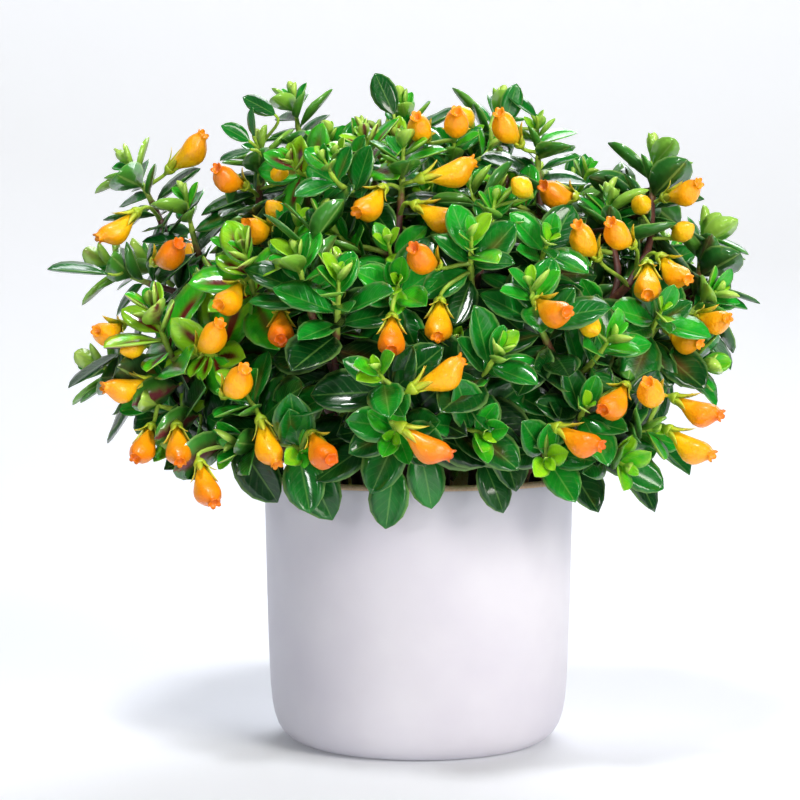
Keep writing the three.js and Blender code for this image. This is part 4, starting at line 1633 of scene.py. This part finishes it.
@dataclass
class Flowers:
    """Every bloom and bud, with the stalks that carry them.

    Attributes:
        neck, girth: How far under its calyx a flower's stalk ends, and its radius.
        deep, light: The least tint of a deep orange bloom and how far it varies, and the most of any other.
        small, closed: The size of a bud's calyx against a bloom's, and its length against that of its axis.
    """

    planter: Planter
    neck: float = 3.0
    girth: float = 0.8
    deep: Pair = (0.7, 0.3)
    light: float = 0.5
    small: float = 0.72
    closed: float = 1.15
    shape: BloomShape = BloomShape()
    bud: BudShape = BudShape()
    calyx: CalyxShape = CalyxShape()
    open_blooms: list[tuple[int, Flower]] = field(default_factory=list)
    set_blooms: list[tuple[int, Flower]] = field(default_factory=list)
    buds: list[tuple[int, Flower]] = field(default_factory=list)

    def __post_init__(self) -> None:
        """Lays out the flowers."""
        for table, kept, key in (
            (BLOOMS, self.open_blooms, 81), (SET_BLOOMS, self.set_blooms, 82), (BUDS, self.buds, 83),
        ):
            for index, (stem, foot, point) in enumerate(table):
                deep = kept is self.open_blooms and index + 1 in DEEP_BLOOMS
                low, varied = self.deep if deep else (0.0, self.light)
                tint = low + varied * draw(index, key)
                kept.append((stem - 1, Flower(Vector(foot), Vector(point), tint)))

    def keep_clear(self, room: Room) -> None:
        """Marks the room of each flower, and a little in front of it so that it stays in view.

        Args:
            room: What is already taken.
        """
        for _, flower in (*self.open_blooms, *self.set_blooms):
            room.take(flower.samples(), 7.0)
            middle = flower.calyx.lerp(flower.mouth, 0.6)
            # Flowers of the front half are seen from the front, and the others from outside.
            outward = Vector((0, -1, 0.05)) if middle.y < 20 else Vector((middle.x, middle.y, 40)).normalized()
            room.take([middle + outward * step for step in (8, 15, 22, 29, 36, 43)], 7.6)
        for _, bud in self.buds:
            room.take([bud.mouth], 4.0)

    def stalks(self, head: Head) -> None:
        """Adds each flower's stalk to its stem's wood.

        Args:
            head: The stems that carry the flowers.
        """
        for stem, flower in (*self.open_blooms, *self.set_blooms):
            head.stalk(stem, flower.calyx - flower.axis * self.neck, flower.axis, self.girth)
        for stem, bud in self.buds:
            head.stalk(stem, bud.calyx, bud.axis, self.girth * 0.8)

    def spot(self, flower: Flower, length: float | None = None) -> Spot:
        """Where a template goes for a flower, sized in millimetres or to a length."""
        size = (length or 1.0) * MM
        return Spot(flower.calyx, flower.turn(), (size, size, size), tint=flower.tint)

    def build(self, orange: Material, green: Material) -> None:
        """Makes the corollas, the calyces and the buds.

        Args:
            orange: The corollas' finish.
            green: The calyces' finish.
        """
        corolla, calyx, bud = (hidden_collection(name, [shape.mesh()]) for name, shape in (
            ("corolla", self.shape), ("calyx", self.calyx), ("bud", self.bud)))
        for index, (_, flower) in enumerate(self.open_blooms):
            node = f"bloom_{index + 1:02d}"
            settle(self.planter.plant(f"{node}_corolla", [self.seated(flower)], corolla, orange), node)
        for index in range(len(STEMS)):
            node = stem_node(index)
            set_here, closed, open_here = (
                [flower for stem, flower in flowers if stem == index]
                for flowers in (self.set_blooms, self.buds, self.open_blooms))
            cups = [self.spot(cup) for cup in (*open_here, *set_here)]
            cups += [self.spot(cup, self.small) for cup in closed]
            points = [self.spot(one, (one.mouth - one.calyx).length * self.closed) for one in closed]
            for name, spots, templates, finish, slot in (
                ("corollas_corolla", [self.seated(flower) for flower in set_here], corolla, orange, "corolla"),
                ("calyces", cups, calyx, green, "foliage"),
                ("buds", points, bud, orange, "corolla"),
            ):
                if spots:
                    settle(self.planter.plant(f"{node}_{name}", spots, templates, finish), node)

    def seated(self, flower: Flower) -> Spot:
        """Where a bloom's corolla goes, a little way into its calyx.

        Args:
            flower: The bloom.

        Returns:
            The spot, sized to reach from the calyx to the mouth.
        """
        spot = self.spot(flower, (flower.mouth - flower.calyx).length - self.shape.seat)
        spot.point = flower.calyx + flower.axis * self.shape.seat
        return spot


# ---- Pot and soil ----


def turned_mesh(name: str, profile: Sequence[Pair], segments: int) -> Mesh:
    """A closed body turned about the upright axis.

    Args:
        name: The mesh's name.
        profile: Radius and height in millimetres, from the axis round to the axis again.
        segments: How many segments a turn has.

    Returns:
        The mesh in metres, with its poles closed.
    """
    points: list[Triple] = []
    rings: list[list[int]] = []
    for radius, height in profile:
        ring = [(radius * MM * cosine, radius * MM * sine, height * MM) for _, cosine, sine in round_steps(segments)]
        first = len(points)
        points += ring if radius else ring[:1]
        rings.append(list(range(first, first + segments)) if radius else [first] * segments)
    faces: list[Face] = []
    for low, high in zip(rings, rings[1:]):
        for step in range(segments):
            after = (step + 1) % segments
            faces.append(tuple(dict.fromkeys((low[step], low[after], high[after], high[step]))))
    return make_mesh(name, points, faces)


@dataclass(frozen=True)
class Pot:
    """The round glazed pot, with its rim and its inside left bare from a height up.

    The profile is radius and height, from the middle of the foot round to the middle of the floor.
    """

    profile: tuple[Pair, ...] = (
        (0, 0.9), (43, 0.9), (45.2, 0.1), (49.6, 0.05), (52.4, 0.6), (55.0, 1.9), (57.4, 4.1), (59.4, 7.3),
        (60.9, 11.6), (61.9, 16.8), (62.5, 23), (63.0, 32), (63.5, 46), (64.0, 64), (64.5, 85), (64.9, 104),
        (65.0, 108.4), (64.9, 109.1), (64.5, 109.9), (63.8, 110.6), (62.8, 111.1), (61.9, 111.2), (61.3, 110.9),
        (61.0, 110.2), (60.8, 108.8), (60.2, 96), (58, 20), (56, 12), (50, 7), (0, 6.5))
    bare_above: float = 108.9
    segments: int = 128

    def build(self, glaze: Material, clay: Material) -> None:
        """Makes the pot, glazed outside and bare on its rim and inside.

        Args:
            glaze: The glaze.
            clay: The bare clay.
        """
        mesh = turned_mesh("pot_body", self.profile, self.segments)
        mesh.materials.append(glaze)
        mesh.materials.append(clay)
        rim = next(place for place, (_, height) in enumerate(self.profile) if height >= self.bare_above)
        for index, face in enumerate(mesh.polygons):
            face.material_index = int(index // self.segments >= rim)
        settle(shown("pot_body", mesh), "pot")


@dataclass(frozen=True)
class Soil:
    """The dark potting mix: a mounded fill, with loose crumbs on top.

    Attributes:
        rings, floor: Radius and height of its top from its rim to its middle, and of its underside's edge.
        sizes, flats: The least size of a crumb and its least height against it, and how far they vary.
    """

    rings: tuple[Pair, ...] = (
        (59.3, 95), (56, 95.4), (50, 96), (43, 96.7), (36, 97.3), (29, 97.9), (22, 98.3), (15, 98.7), (8, 98.9),
        (0, 99))
    floor: tuple[Pair, ...] = ((0, 6.8), (49.4, 6.8), (57.4, 20))
    rough: float = 0.55
    edge: float = 58.0
    crumbs: int = 620
    forms: int = 4
    scatter: float = 57.0
    sizes: Pair = (1.5, 3.2)
    flats: Pair = (0.55, 0.3)
    clear: float = 2.7
    break_up: float = 0.28
    segments: int = 72

    def height(self, radius: float) -> float:
        """Height of the top.

        Args:
            radius: The distance from the middle.

        Returns:
            The height there.
        """
        for (outer, low), (inner, high) in zip(self.rings, self.rings[1:]):
            if radius >= inner:
                return high + (low - high) * (radius - inner) / (outer - inner)
        return self.rings[-1][1]

    def crumb_mesh(self, order: int) -> Mesh:
        """One broken crumb, a unit across.

        Args:
            order: Which of its forms it has.

        Returns:
            The mesh.
        """
        golden = (1 + math.sqrt(5)) / 2
        corners = [Vector(corner).normalized() / 2 for corner in (
            (-1, golden, 0), (1, golden, 0), (-1, -golden, 0), (1, -golden, 0), (0, -1, golden), (0, 1, golden),
            (0, -1, -golden), (0, 1, -golden), (golden, 0, -1), (golden, 0, 1), (-golden, 0, -1), (-golden, 0, 1))]
        corners = [corner * (1 + spread(self.break_up, order, place, 91)) for place, corner in enumerate(corners)]
        faces = ((0, 11, 5), (0, 5, 1), (0, 1, 7), (0, 7, 10), (0, 10, 11), (1, 5, 9), (5, 11, 4), (11, 10, 2),
                 (10, 7, 6), (7, 1, 8), (3, 9, 4), (3, 4, 2), (3, 2, 6), (3, 6, 8), (3, 8, 9), (4, 9, 5), (2, 4, 11),
                 (6, 2, 10), (8, 6, 7), (9, 8, 1))
        return make_mesh(f"crumb_{order}", corners, faces, soft=False)

    def build(self, planter: Planter, earth: Material, crumb: Material) -> None:
        """Makes the fill and its crumbs.

        Args:
            planter: The tree that sets the crumbs.
            earth: The fill's finish.
            crumb: The crumbs' finish.
        """
        mesh = turned_mesh("soil_fill", [*self.floor, *self.rings], self.segments)
        for index, point in enumerate(mesh.vertices):
            if point.co.z > self.floor[-1][1] * MM and math.hypot(point.co.x, point.co.y) < self.edge * MM:
                point.co.z += spread(self.rough, index, 92) * MM
        mesh.materials.append(earth)
        settle(shown("soil_fill", mesh), "soil")
        spots = []
        for index in range(self.crumbs):
            radius = self.scatter * math.sqrt(draw(index, 93))
            angle = 2 * math.pi * draw(index, 94)
            size = self.sizes[0] + self.sizes[1] * draw(index, 95) ** 2
            flat = size * (self.flats[0] + self.flats[1] * draw(index, 96))
            point = Vector((radius * math.cos(angle), radius * math.sin(angle), self.height(radius) + flat * 0.15))
            if any((point.xy - Vector(stem.base)).length < self.clear + size / 2 for stem in STEMS):
                continue
            turn = (spread(0.4, index, 97), spread(0.4, index, 98), 2 * math.pi * draw(index, 99))
            form = index % self.forms
            spots.append(Spot(point, turn, (size * 1.25 * MM, size * MM, flat * MM), form, tint=draw(index, 90)))
        templates = hidden_collection("crumb", [self.crumb_mesh(order) for order in range(self.forms)])
        settle(planter.plant("soil_crumbs", spots, templates, crumb), "soil")


# ---- Finishes ----


@dataclass
class Skin:
    """A material while its nodes are laid: its name is what the real finish is, and constants are what the
    shader's own sockets are set to.
    """

    name: str
    constants: dict[str, Any]
    material: Material = field(init=False)
    shader: bpy.types.Node = field(init=False)

    def __post_init__(self) -> None:
        """Starts the material and sets its shader's constants."""
        self.material = bpy.data.materials.new(self.name)
        self.material.use_nodes = True
        self.shader = next(node for node in self.tree.nodes if node.type == "BSDF_PRINCIPLED")
        for name, value in self.constants.items():
            self.shader.inputs[name].default_value = value

    @property
    def tree(self) -> bpy.types.NodeTree:
        """The material's node tree."""
        return self.material.node_tree

    def read(self, *names: str) -> list[Socket]:
        """The numbers that a piece carries under some names."""
        return [add(self.tree, "ShaderNodeAttribute", attribute_name=name).outputs["Fac"] for name in names]

    def surface(self) -> tuple[Socket, Socket]:
        """The place on a piece's own UV map.

        Returns:
            How far from the middle line it lies, and how far along.
        """
        place = add(self.tree, "ShaderNodeUVMap").outputs["UV"]
        across, along, _ = add(self.tree, "ShaderNodeSeparateXYZ", {0: place}).outputs
        off = add(self.tree, "ShaderNodeMath", {0: across, 1: 0.5}, operation="SUBTRACT").outputs[0]
        return add(self.tree, "ShaderNodeMath", {0: off}, operation="ABSOLUTE").outputs[0], along

    def grain(self, size: float, detail: float = 3.0) -> Socket:
        """Noise from 0 to 1 in the part's own space, with features of a size in millimetres."""
        settings = {"Vector": add(self.tree, "ShaderNodeTexCoord").outputs["Object"], "Scale": 1 / (size * MM)}
        return add(self.tree, "ShaderNodeTexNoise", {**settings, "Detail": detail}).outputs["Fac"]

    def bands(self, *bands: Band, shape: str = "SMOOTHSTEP") -> list[Socket]:
        """Steps from one level to another.

        Args:
            bands: For each step its number, where it starts and ends, and its two levels.
            shape: How it goes from one level to the other.

        Returns:
            The number that each step gives.
        """
        names = ("Value", "From Min", "From Max", "To Min", "To Max")
        return [add(self.tree, "ShaderNodeMapRange", dict(zip(names, band)), interpolation_type=shape).outputs[0]
                for band in bands]

    def clouded(self, base: Socket, size: float, amount: float) -> Socket:
        """A number that soft clouds of a size in millimetres push up and down by an amount."""
        cloud, = self.bands((self.grain(size), *CLOUDY, -amount, amount), shape="LINEAR")
        return add(self.tree, "ShaderNodeMath", {0: base, 1: cloud}, operation="ADD").outputs[0]

    def layered(self, colour: Socket | Rgba, *layers: tuple[Socket, Socket | str]) -> Socket:
        """A colour with further colours laid over it.

        Args:
            colour: The colour underneath.
            layers: The weight and the colour of each layer.

        Returns:
            The colour that shows.
        """
        for weight, over in layers:
            colour = add(self.tree, "ShaderNodeMix", {
                "Factor": weight, "A": colour, "B": hex_rgba(over) if isinstance(over, str) else over,
            }, data_type="RGBA").outputs["Result"]
        return colour

    def done(self, colour: Socket, height: Socket, strength: float, depth: float) -> Material:
        """Gives the shader its colour and its relief.

        Args:
            colour: The colour.
            height: The height of the relief.
            strength: How strongly it shows.
            depth: How deep it is in millimetres.

        Returns:
            The finished material.
        """
        relief = add(self.tree, "ShaderNodeBump", {"Height": height, "Strength": strength, "Distance": depth * MM})
        self.tree.links.new(colour, self.shader.inputs["Base Color"])
        self.tree.links.new(relief.outputs["Normal"], self.shader.inputs["Normal"])
        return self.material


@dataclass(frozen=True)
class LeafUpper:
    """The waxy upper skin of a leaf: thick and glossy, dark when old, with a paler midrib, and a pale band along its
    edge that is a painted highlight.

    Each half has a number of side veins, which sweep towards the tip on their way out.
    """

    ages: Stops = (
        (0.0, "92cf1e"), (0.1, "40b81b"), (0.24, "139a20"), (0.44, "07741c"), (0.7, "044812"), (1.0, "02240a"))
    # The colour of the pale band along the leaf's edge: a painted edge highlight.
    rim_highlight: str = "93c46a"
    rib: str = "7fb556"
    flush: str = "6e2419"
    veins: float = 9.0
    sweep: float = 0.62

    def make(self) -> Material:
        """Builds the material.

        Returns:
            The finish.
        """
        skin = Skin("Waxy leaf, upper skin", {
            "Roughness": 0.32, "Specular IOR Level": 0.15, "Coat Weight": 0.7, "Coat Roughness": 0.11})
        tree = skin.tree
        age, flush, tint = skin.read("age", "flush", "tint")
        across, along = skin.surface()
        # Cloudy patches about 7 mm across, and each leaf a little older or younger than its pair says.
        patchy = skin.clouded(age, 7, 0.08)
        shift, = skin.bands((tint, 0.0, 1.0, -0.15, 0.15), shape="LINEAR")
        shade = add(tree, "ShaderNodeMath", {0: patchy, 1: shift}, operation="ADD").outputs[0]
        swept = add(tree, "ShaderNodeMath", {0: across, 1: -self.sweep, 2: along}, operation="MULTIPLY_ADD").outputs[0]
        count = add(tree, "ShaderNodeMath", {0: swept, 1: self.veins}, operation="MULTIPLY").outputs[0]
        saw = add(tree, "ShaderNodeMath", {0: count, 1: 0.5}, operation="PINGPONG").outputs[0]
        # The flush fades out from the midrib and towards the tip.
        vein, rib, near, low, rim = skin.bands(
            (saw, 0.0, 0.16, 1.0, 0.0), (across, 0.008, 0.034, 0.32, 0.0), (across, 0.02, 0.2, 0.9, 0.0),
            (along, 0.5, 0.9, 1.0, 0.0), (across, 0.4, 0.495, 0.0, 0.55))
        faint = add(tree, "ShaderNodeMath", {0: vein, 1: 0.05}, operation="MULTIPLY").outputs[0]
        red = add(tree, "ShaderNodeMath", {0: near, 1: low}, operation="MULTIPLY").outputs[0]
        strong = add(tree, "ShaderNodeMath", {0: red, 1: flush}, operation="MULTIPLY").outputs[0]
        green = add(tree, "ShaderNodeValToRGB", {"Fac": shade}, self.ages).outputs["Color"]
        # The rim layer paints a pale highlight along the leaf's edge.
        colour = skin.layered(green, (faint, self.rib), (rib, self.rib), (strong, self.flush), (rim, self.rim_highlight))
        # The skin is puckered between its veins.
        fine = add(tree, "ShaderNodeMath", {0: vein, 1: -0.5, 2: skin.grain(1.6)}, operation="MULTIPLY_ADD")
        height = add(tree, "ShaderNodeMath", {0: skin.grain(5), 1: 2.4, 2: fine.outputs[0]}, operation="MULTIPLY_ADD")
        return skin.done(colour, height.outputs[0], 0.3, 0.6)


@dataclass(frozen=True)
class LeafUnder:
    """The duller underside of a leaf: paler, with a red-brown blotch along the midrib of flushed leaves, and a pale
    band along its edge that is a painted highlight.
    """

    ages: Stops = ((0.0, "b9dc5c"), (0.25, "86bc40"), (0.5, "3f8a2c"), (0.8, "1f5f22"), (1.0, "274a26"))
    rib: str = "9cc568"
    flush: str = "6c2e36"

    def make(self) -> Material:
        """Builds the material.

        Returns:
            The finish.
        """
        skin = Skin("Leaf underside", {
            "Roughness": 0.38, "Specular IOR Level": 0.2, "Coat Weight": 0.8, "Coat Roughness": 0.1})
        tree = skin.tree
        age, flush = skin.read("age", "flush")
        across, _ = skin.surface()
        near, rib, rim = skin.bands(
            (across, 0.03, 0.34, 1.0, 0.0), (across, 0.015, 0.05, 0.55, 0.0), (across, 0.42, 0.495, 0.0, 0.5))
        mauve = add(tree, "ShaderNodeMath", {0: age, 1: 0.2, 2: flush}, operation="MULTIPLY_ADD", use_clamp=True)
        # The blotch breaks up into patches about 4 mm across.
        patch = add(tree, "ShaderNodeMath", {0: skin.grain(4), 1: 1.9}, operation="MULTIPLY").outputs[0]
        cloud = add(tree, "ShaderNodeMath", {0: mauve.outputs[0], 1: patch}, operation="MULTIPLY").outputs[0]
        blotch = add(tree, "ShaderNodeMath", {0: near, 1: cloud}, operation="MULTIPLY", use_clamp=True).outputs[0]
        green = add(tree, "ShaderNodeValToRGB", {"Fac": age}, self.ages).outputs["Color"]
        # The rim layer, in the midrib's colour, paints a pale highlight along the leaf's edge.
        colour = skin.layered(green, (rib, self.rib), (blotch, self.flush), (rim, self.rib))
        height = add(tree, "ShaderNodeMath", {0: skin.grain(4), 1: 2.0, 2: skin.grain(1.1)}, operation="MULTIPLY_ADD")
        return skin.done(colour, height.outputs[0], 0.3, 0.5)


@dataclass(frozen=True)
class Bark:
    """Stem skin: soft yellow-green shoots that turn to brown-purple corky wood."""

    ages: Stops = ((0.0, "a9cc3e"), (0.3, "86a83c"), (0.5, "74552f"), (0.7, "5c3024"), (1.0, "3f2320"))

    def make(self) -> Material:
        """Builds the material.

        Returns:
            The finish.
        """
        skin = Skin("Stem skin and bark", {"Roughness": 0.55})
        age, = skin.read("age")
        # Lenticels and cracks about 2 mm long.
        shade = skin.clouded(age, 2.2, 0.12)
        colour = add(skin.tree, "ShaderNodeValToRGB", {"Fac": shade}, self.ages).outputs["Color"]
        return skin.done(colour, skin.grain(1.2, 5), 0.5, 0.5)


@dataclass(frozen=True)
class CalyxSkin:
    """The soft calyx: yellow-green, more yellow towards its lobes' tips."""

    stops: Stops = ((0.0, "93b52c"), (0.35, "b2c72a"), (0.75, "cfd23a"), (1.0, "d9b83a"))

    def make(self) -> Material:
        """Builds the material.

        Returns:
            The finish.
        """
        skin = Skin("Calyx skin", {"Roughness": 0.42, "Subsurface Weight": 0.1, "Subsurface Scale": 0.002})
        place = skin.clouded(skin.surface()[1], 3, 0.12)
        colour = add(skin.tree, "ShaderNodeValToRGB", {"Fac": place}, self.stops).outputs["Color"]
        return skin.done(colour, skin.grain(0.9), 0.25, 0.3)


@dataclass(frozen=True)
class Petal:
    """The waxy, faintly downy corolla: golden when young, deep orange when old, deepest at its mouth."""

    gold: Stops = ((0.0, "d8c420"), (0.3, "ffc60a"), (0.7, "feae04"), (0.93, "fca006"), (1.0, "f89400"))
    deep: Stops = ((0.0, "eaae10"), (0.3, "f89600"), (0.7, "f28000"), (0.93, "ec6e00"), (1.0, "e06000"))
    specks: str = "e8690f"

    def make(self) -> Material:
        """Builds the material.

        Returns:
            The finish.
        """
        skin = Skin("Corolla", {
            "Roughness": 0.38, "Specular IOR Level": 0.3, "Coat Weight": 0.35, "Coat Roughness": 0.22,
            "Subsurface Weight": 0.02, "Subsurface Scale": 0.003})
        tree = skin.tree
        tint, = skin.read("tint")
        place = skin.clouded(skin.surface()[1], 4, 0.1)
        gold, deep = (
            add(tree, "ShaderNodeValToRGB", {"Fac": place}, stops).outputs["Color"] for stops in (self.gold, self.deep))
        # The specks are under a millimetre across.
        share, speck = skin.bands(
            (tint, 0.35, 1.0, 0.0, 1.0), (skin.grain(0.8, 1), 0.58, 0.7, 0.0, 0.3), shape="LINEAR")
        colour = skin.layered(gold, (share, deep), (speck, self.specks))
        # The skin is softly crumpled.
        height = add(tree, "ShaderNodeMath", {0: skin.grain(4), 1: 3.0, 2: skin.grain(0.7)}, operation="MULTIPLY_ADD")
        return skin.done(colour, height.outputs[0], 0.4, 0.6)


@dataclass(frozen=True)
class SatinGlaze:
    """Satin white glaze on stoneware: faintly lilac, with soft clouds and dimples."""

    white: str = "dbd9e1"
    shade: str = "d0cdd8"

    def make(self) -> Material:
        """Builds the material.

        Returns:
            The finish.
        """
        skin = Skin("Satin white glaze", {
            "Roughness": 0.42, "Specular IOR Level": 0.25, "Coat Weight": 0.05, "Coat Roughness": 0.3})
        cloud, = skin.bands((skin.grain(45), *CLOUDY, 0.0, 1.0), shape="LINEAR")
        colour = skin.layered(hex_rgba(self.white), (cloud, self.shade))
        return skin.done(colour, skin.grain(6, 2), 0.08, 0.6)


@dataclass(frozen=True)
class GrainyFinish:
    """A dry, rough finish for bare clay and potting mix: dark in its hollows and light on its high spots.

    The grain's size and depth are in millimetres. Pieces whose tint is past the rare one are pale, where that
    has a colour.
    """

    name: str
    dark: str
    light: str
    size: float
    depth: float
    pale: str = ""
    rare: float = 0.93

    def make(self) -> Material:
        """Builds the material.

        Returns:
            The finish.
        """
        skin = Skin(self.name, {"Roughness": 0.9})
        fine = skin.grain(self.size, 4)
        share, = skin.bands((fine, 0.35, 0.65, 0.0, 1.0), shape="LINEAR")
        colour = skin.layered(hex_rgba(self.dark), (share, self.light))
        if self.pale:
            tint, = skin.read("tint")
            few = add(skin.tree, "ShaderNodeMath", {0: tint, 1: self.rare}, operation="GREATER_THAN").outputs[0]
            colour = skin.layered(colour, (few, self.pale))
        return skin.done(colour, fine, 0.7, self.depth)


# ---- Studio ----


@dataclass(frozen=True)
class Lamp:
    """A soft box: its place, its size, its power and its colour."""

    name: str
    place: Triple
    size: float
    power: float
    colour: str


@dataclass(frozen=True)
class Backdrop:
    """Pale paper: a wide floor, whose middle part curves up far behind the part into a wall, in metres."""

    paper: str = "dee1e7"
    # The colour of the paper's painted glow.
    glow: str = "f5f6f6"
    wide: float = 10.0
    narrow: float = 3.5
    bend: float = 1.6
    radius: float = 0.8
    top: float = 3.6
    steps: int = 12

    def finish(self) -> Material:
        """Builds the material.

        Returns:
            Matt paper that glows as painted light, more towards the back and far out on every side, so that it stays
            pale there.
        """
        skin = Skin("Pale matt paper, lit from behind at the back", {
            "Roughness": 0.7, "Base Color": hex_rgba(self.paper), "Emission Color": hex_rgba(self.glow)})
        place = add(skin.tree, "ShaderNodeTexCoord").outputs["Object"]
        back = add(skin.tree, "ShaderNodeSeparateXYZ", {0: place}).outputs["Y"]
        away = add(skin.tree, "ShaderNodeVectorMath", {0: place}, operation="LENGTH").outputs["Value"]
        # The paper's own glow is painted light: faint near the part, stronger up the wall and far out.
        wall, far = skin.bands((back, 0.6, 2.3, 0.1, 0.55), (away, 1.3, 3.6, 0.0, 0.5))
        shine = add(skin.tree, "ShaderNodeMath", {0: wall, 1: far}, operation="MAXIMUM").outputs[0]
        skin.tree.links.new(shine, skin.shader.inputs["Emission Strength"])
        return skin.material

    def build(self) -> None:
        """Makes the floor and the wall as one sheet."""
        columns = (-self.wide, -self.narrow, self.narrow, self.wide)
        points = [(x, y, 0.0) for y in (-self.wide, self.bend) for x in columns]
        faces = [(place, place + 1, place + 5, place + 4) for place in range(3)]
        turns = [math.pi / 2 * step / self.steps for step in range(1, self.steps + 1)]
        rise = [(self.bend + self.radius * math.sin(turn), self.radius * (1 - math.cos(turn))) for turn in turns]
        rise.append((self.bend + self.radius, self.top))
        edges = [(5, 6), *((8 + 2 * row, 9 + 2 * row) for row in range(len(rise)))]
        points += [(x, y, z) for y, z in rise for x in (-self.narrow, self.narrow)]
        faces += [(*low, *reversed(high)) for low, high in zip(edges, edges[1:])]
        mesh = make_mesh("pale_sweep", points, faces)
        mesh.materials.append(self.finish())
        shown("pale_sweep", mesh)


@dataclass(frozen=True)
class Studio:
    """A plain pale floor, soft lamps that point at one spot, and the camera, in metres and degrees.

    The lens is the camera's focal length and its sensor's width; it looks a little down and to the left.
    """

    aim: Triple = (0.0, 0.0, 0.16)
    sky: str = "f3f5ff"
    world: float = 0.07
    lens: tuple[float, float] = (92.25, 36.0)
    eye: Triple = (0.0, -0.865, 0.1736)
    pitch: float = 2.05
    yaw: float = 0.52
    lamps: tuple[Lamp, ...] = (
        Lamp("key", (1.1, -1.35, 0.85), 0.7, 26.0, "fffaf2"),
        Lamp("low", (0.85, -1.6, 0.13), 0.5, 4.5, "fffaf2"),
        Lamp("back", (0.3, 1.1, 1.35), 1.0, 22.0, "f7f8ff"),
        Lamp("sparkle", (-0.2, -0.6, 1.5), 0.25, 14.0, "ffffff"),
        Lamp("glint", (-0.5, -1.25, 0.35), 0.12, 1.8, "ffffff"),
    )
    backdrop: Backdrop = Backdrop()

    def build(self) -> None:
        """Makes the floor, the lamps, the surroundings and the camera."""
        self.backdrop.build()
        for lamp in self.lamps:
            light = bpy.data.lights.new(lamp.name, "AREA")
            light.size, light.energy = lamp.size, lamp.power
            light.color = hex_rgba(lamp.colour)[:3]
            way = Vector(self.aim) - Vector(lamp.place)
            self.stand(light, lamp.place, way.to_track_quat("-Z", "Y").to_euler())
        world = bpy.data.worlds.new("bright room")
        world.use_nodes = True
        back = next(node for node in world.node_tree.nodes if node.type == "BACKGROUND")
        back.inputs["Color"].default_value = hex_rgba(self.sky)
        back.inputs["Strength"].default_value = self.world
        scene = bpy.context.scene
        scene.world = world
        camera = bpy.data.cameras.new("view")
        camera.lens, camera.sensor_width = self.lens
        turn = (math.radians(90 - self.pitch), 0.0, math.radians(self.yaw))
        scene.camera = self.stand(camera, self.eye, turn)
        scene.view_settings.view_transform = "Standard"

    @staticmethod
    def stand(thing: bpy.types.ID, place: Triple, turn: Sequence[float]) -> Piece:
        """Puts a lamp or the camera in its place.

        Args:
            thing: The lamp's or the camera's own data.
            place: Where it stands.
            turn: Its Euler angles.

        Returns:
            The object.
        """
        holder = shown(thing.name, thing)
        holder.location, holder.rotation_euler = place, turn
        return holder


# ---- The whole ----


def solid_tree(node: Piece) -> BVHTree:
    """A search tree of a solid's surface, in metres."""
    faces = [tuple(face.vertices) for face in node.data.polygons]
    return BVHTree.FromPolygons([point.co.copy() for point in node.data.vertices], faces)


def main() -> None:
    """Builds the plant's looks round the part, one sub-assembly after another."""
    logging.basicConfig(level=logging.INFO, format="%(message)s")
    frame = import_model()
    planter, binder = Planter(), Binder()
    bark, upper, under, green, orange = (
        finish.make() for finish in (Bark(), LeafUpper(), LeafUnder(), CalyxSkin(), Petal()))
    glaze, clay = SatinGlaze(), GrainyFinish("Bare warm clay", "f2cba4", "ffe2c4", 0.8, 0.15)
    earth = GrainyFinish("Damp potting mix", "17100c", "3a2a1e", 2.4, 1.4)
    crumbs = GrainyFinish("Bark crumbs and perlite", "23170f", "553c2a", 1.6, 0.6, "d9d5cc")

    Pot().build(glaze.make(), clay.make())
    Soil().build(planter, earth.make(), crumbs.make())
    flowers = Flowers(planter)
    head = Head([solid_tree(frame["nodes"][stem_node(index)]) for index in range(len(STEMS))])
    flowers.keep_clear(head.foliage.room)
    head.grow()
    flowers.stalks(head)
    flowers.build(orange, green)
    templates = hidden_collection("leaf", [leaf_mesh(kind) for kind in LeafKind])
    for index, strands in enumerate(head.strands):
        node = stem_node(index)
        settle(binder.bind(f"{node}_wood", strands, bark), node)
        settle(planter.plant(f"{node}_leaves", head.spots(index), templates, upper, under), node)
    Studio().build()


if __name__ == "__main__":
    main()
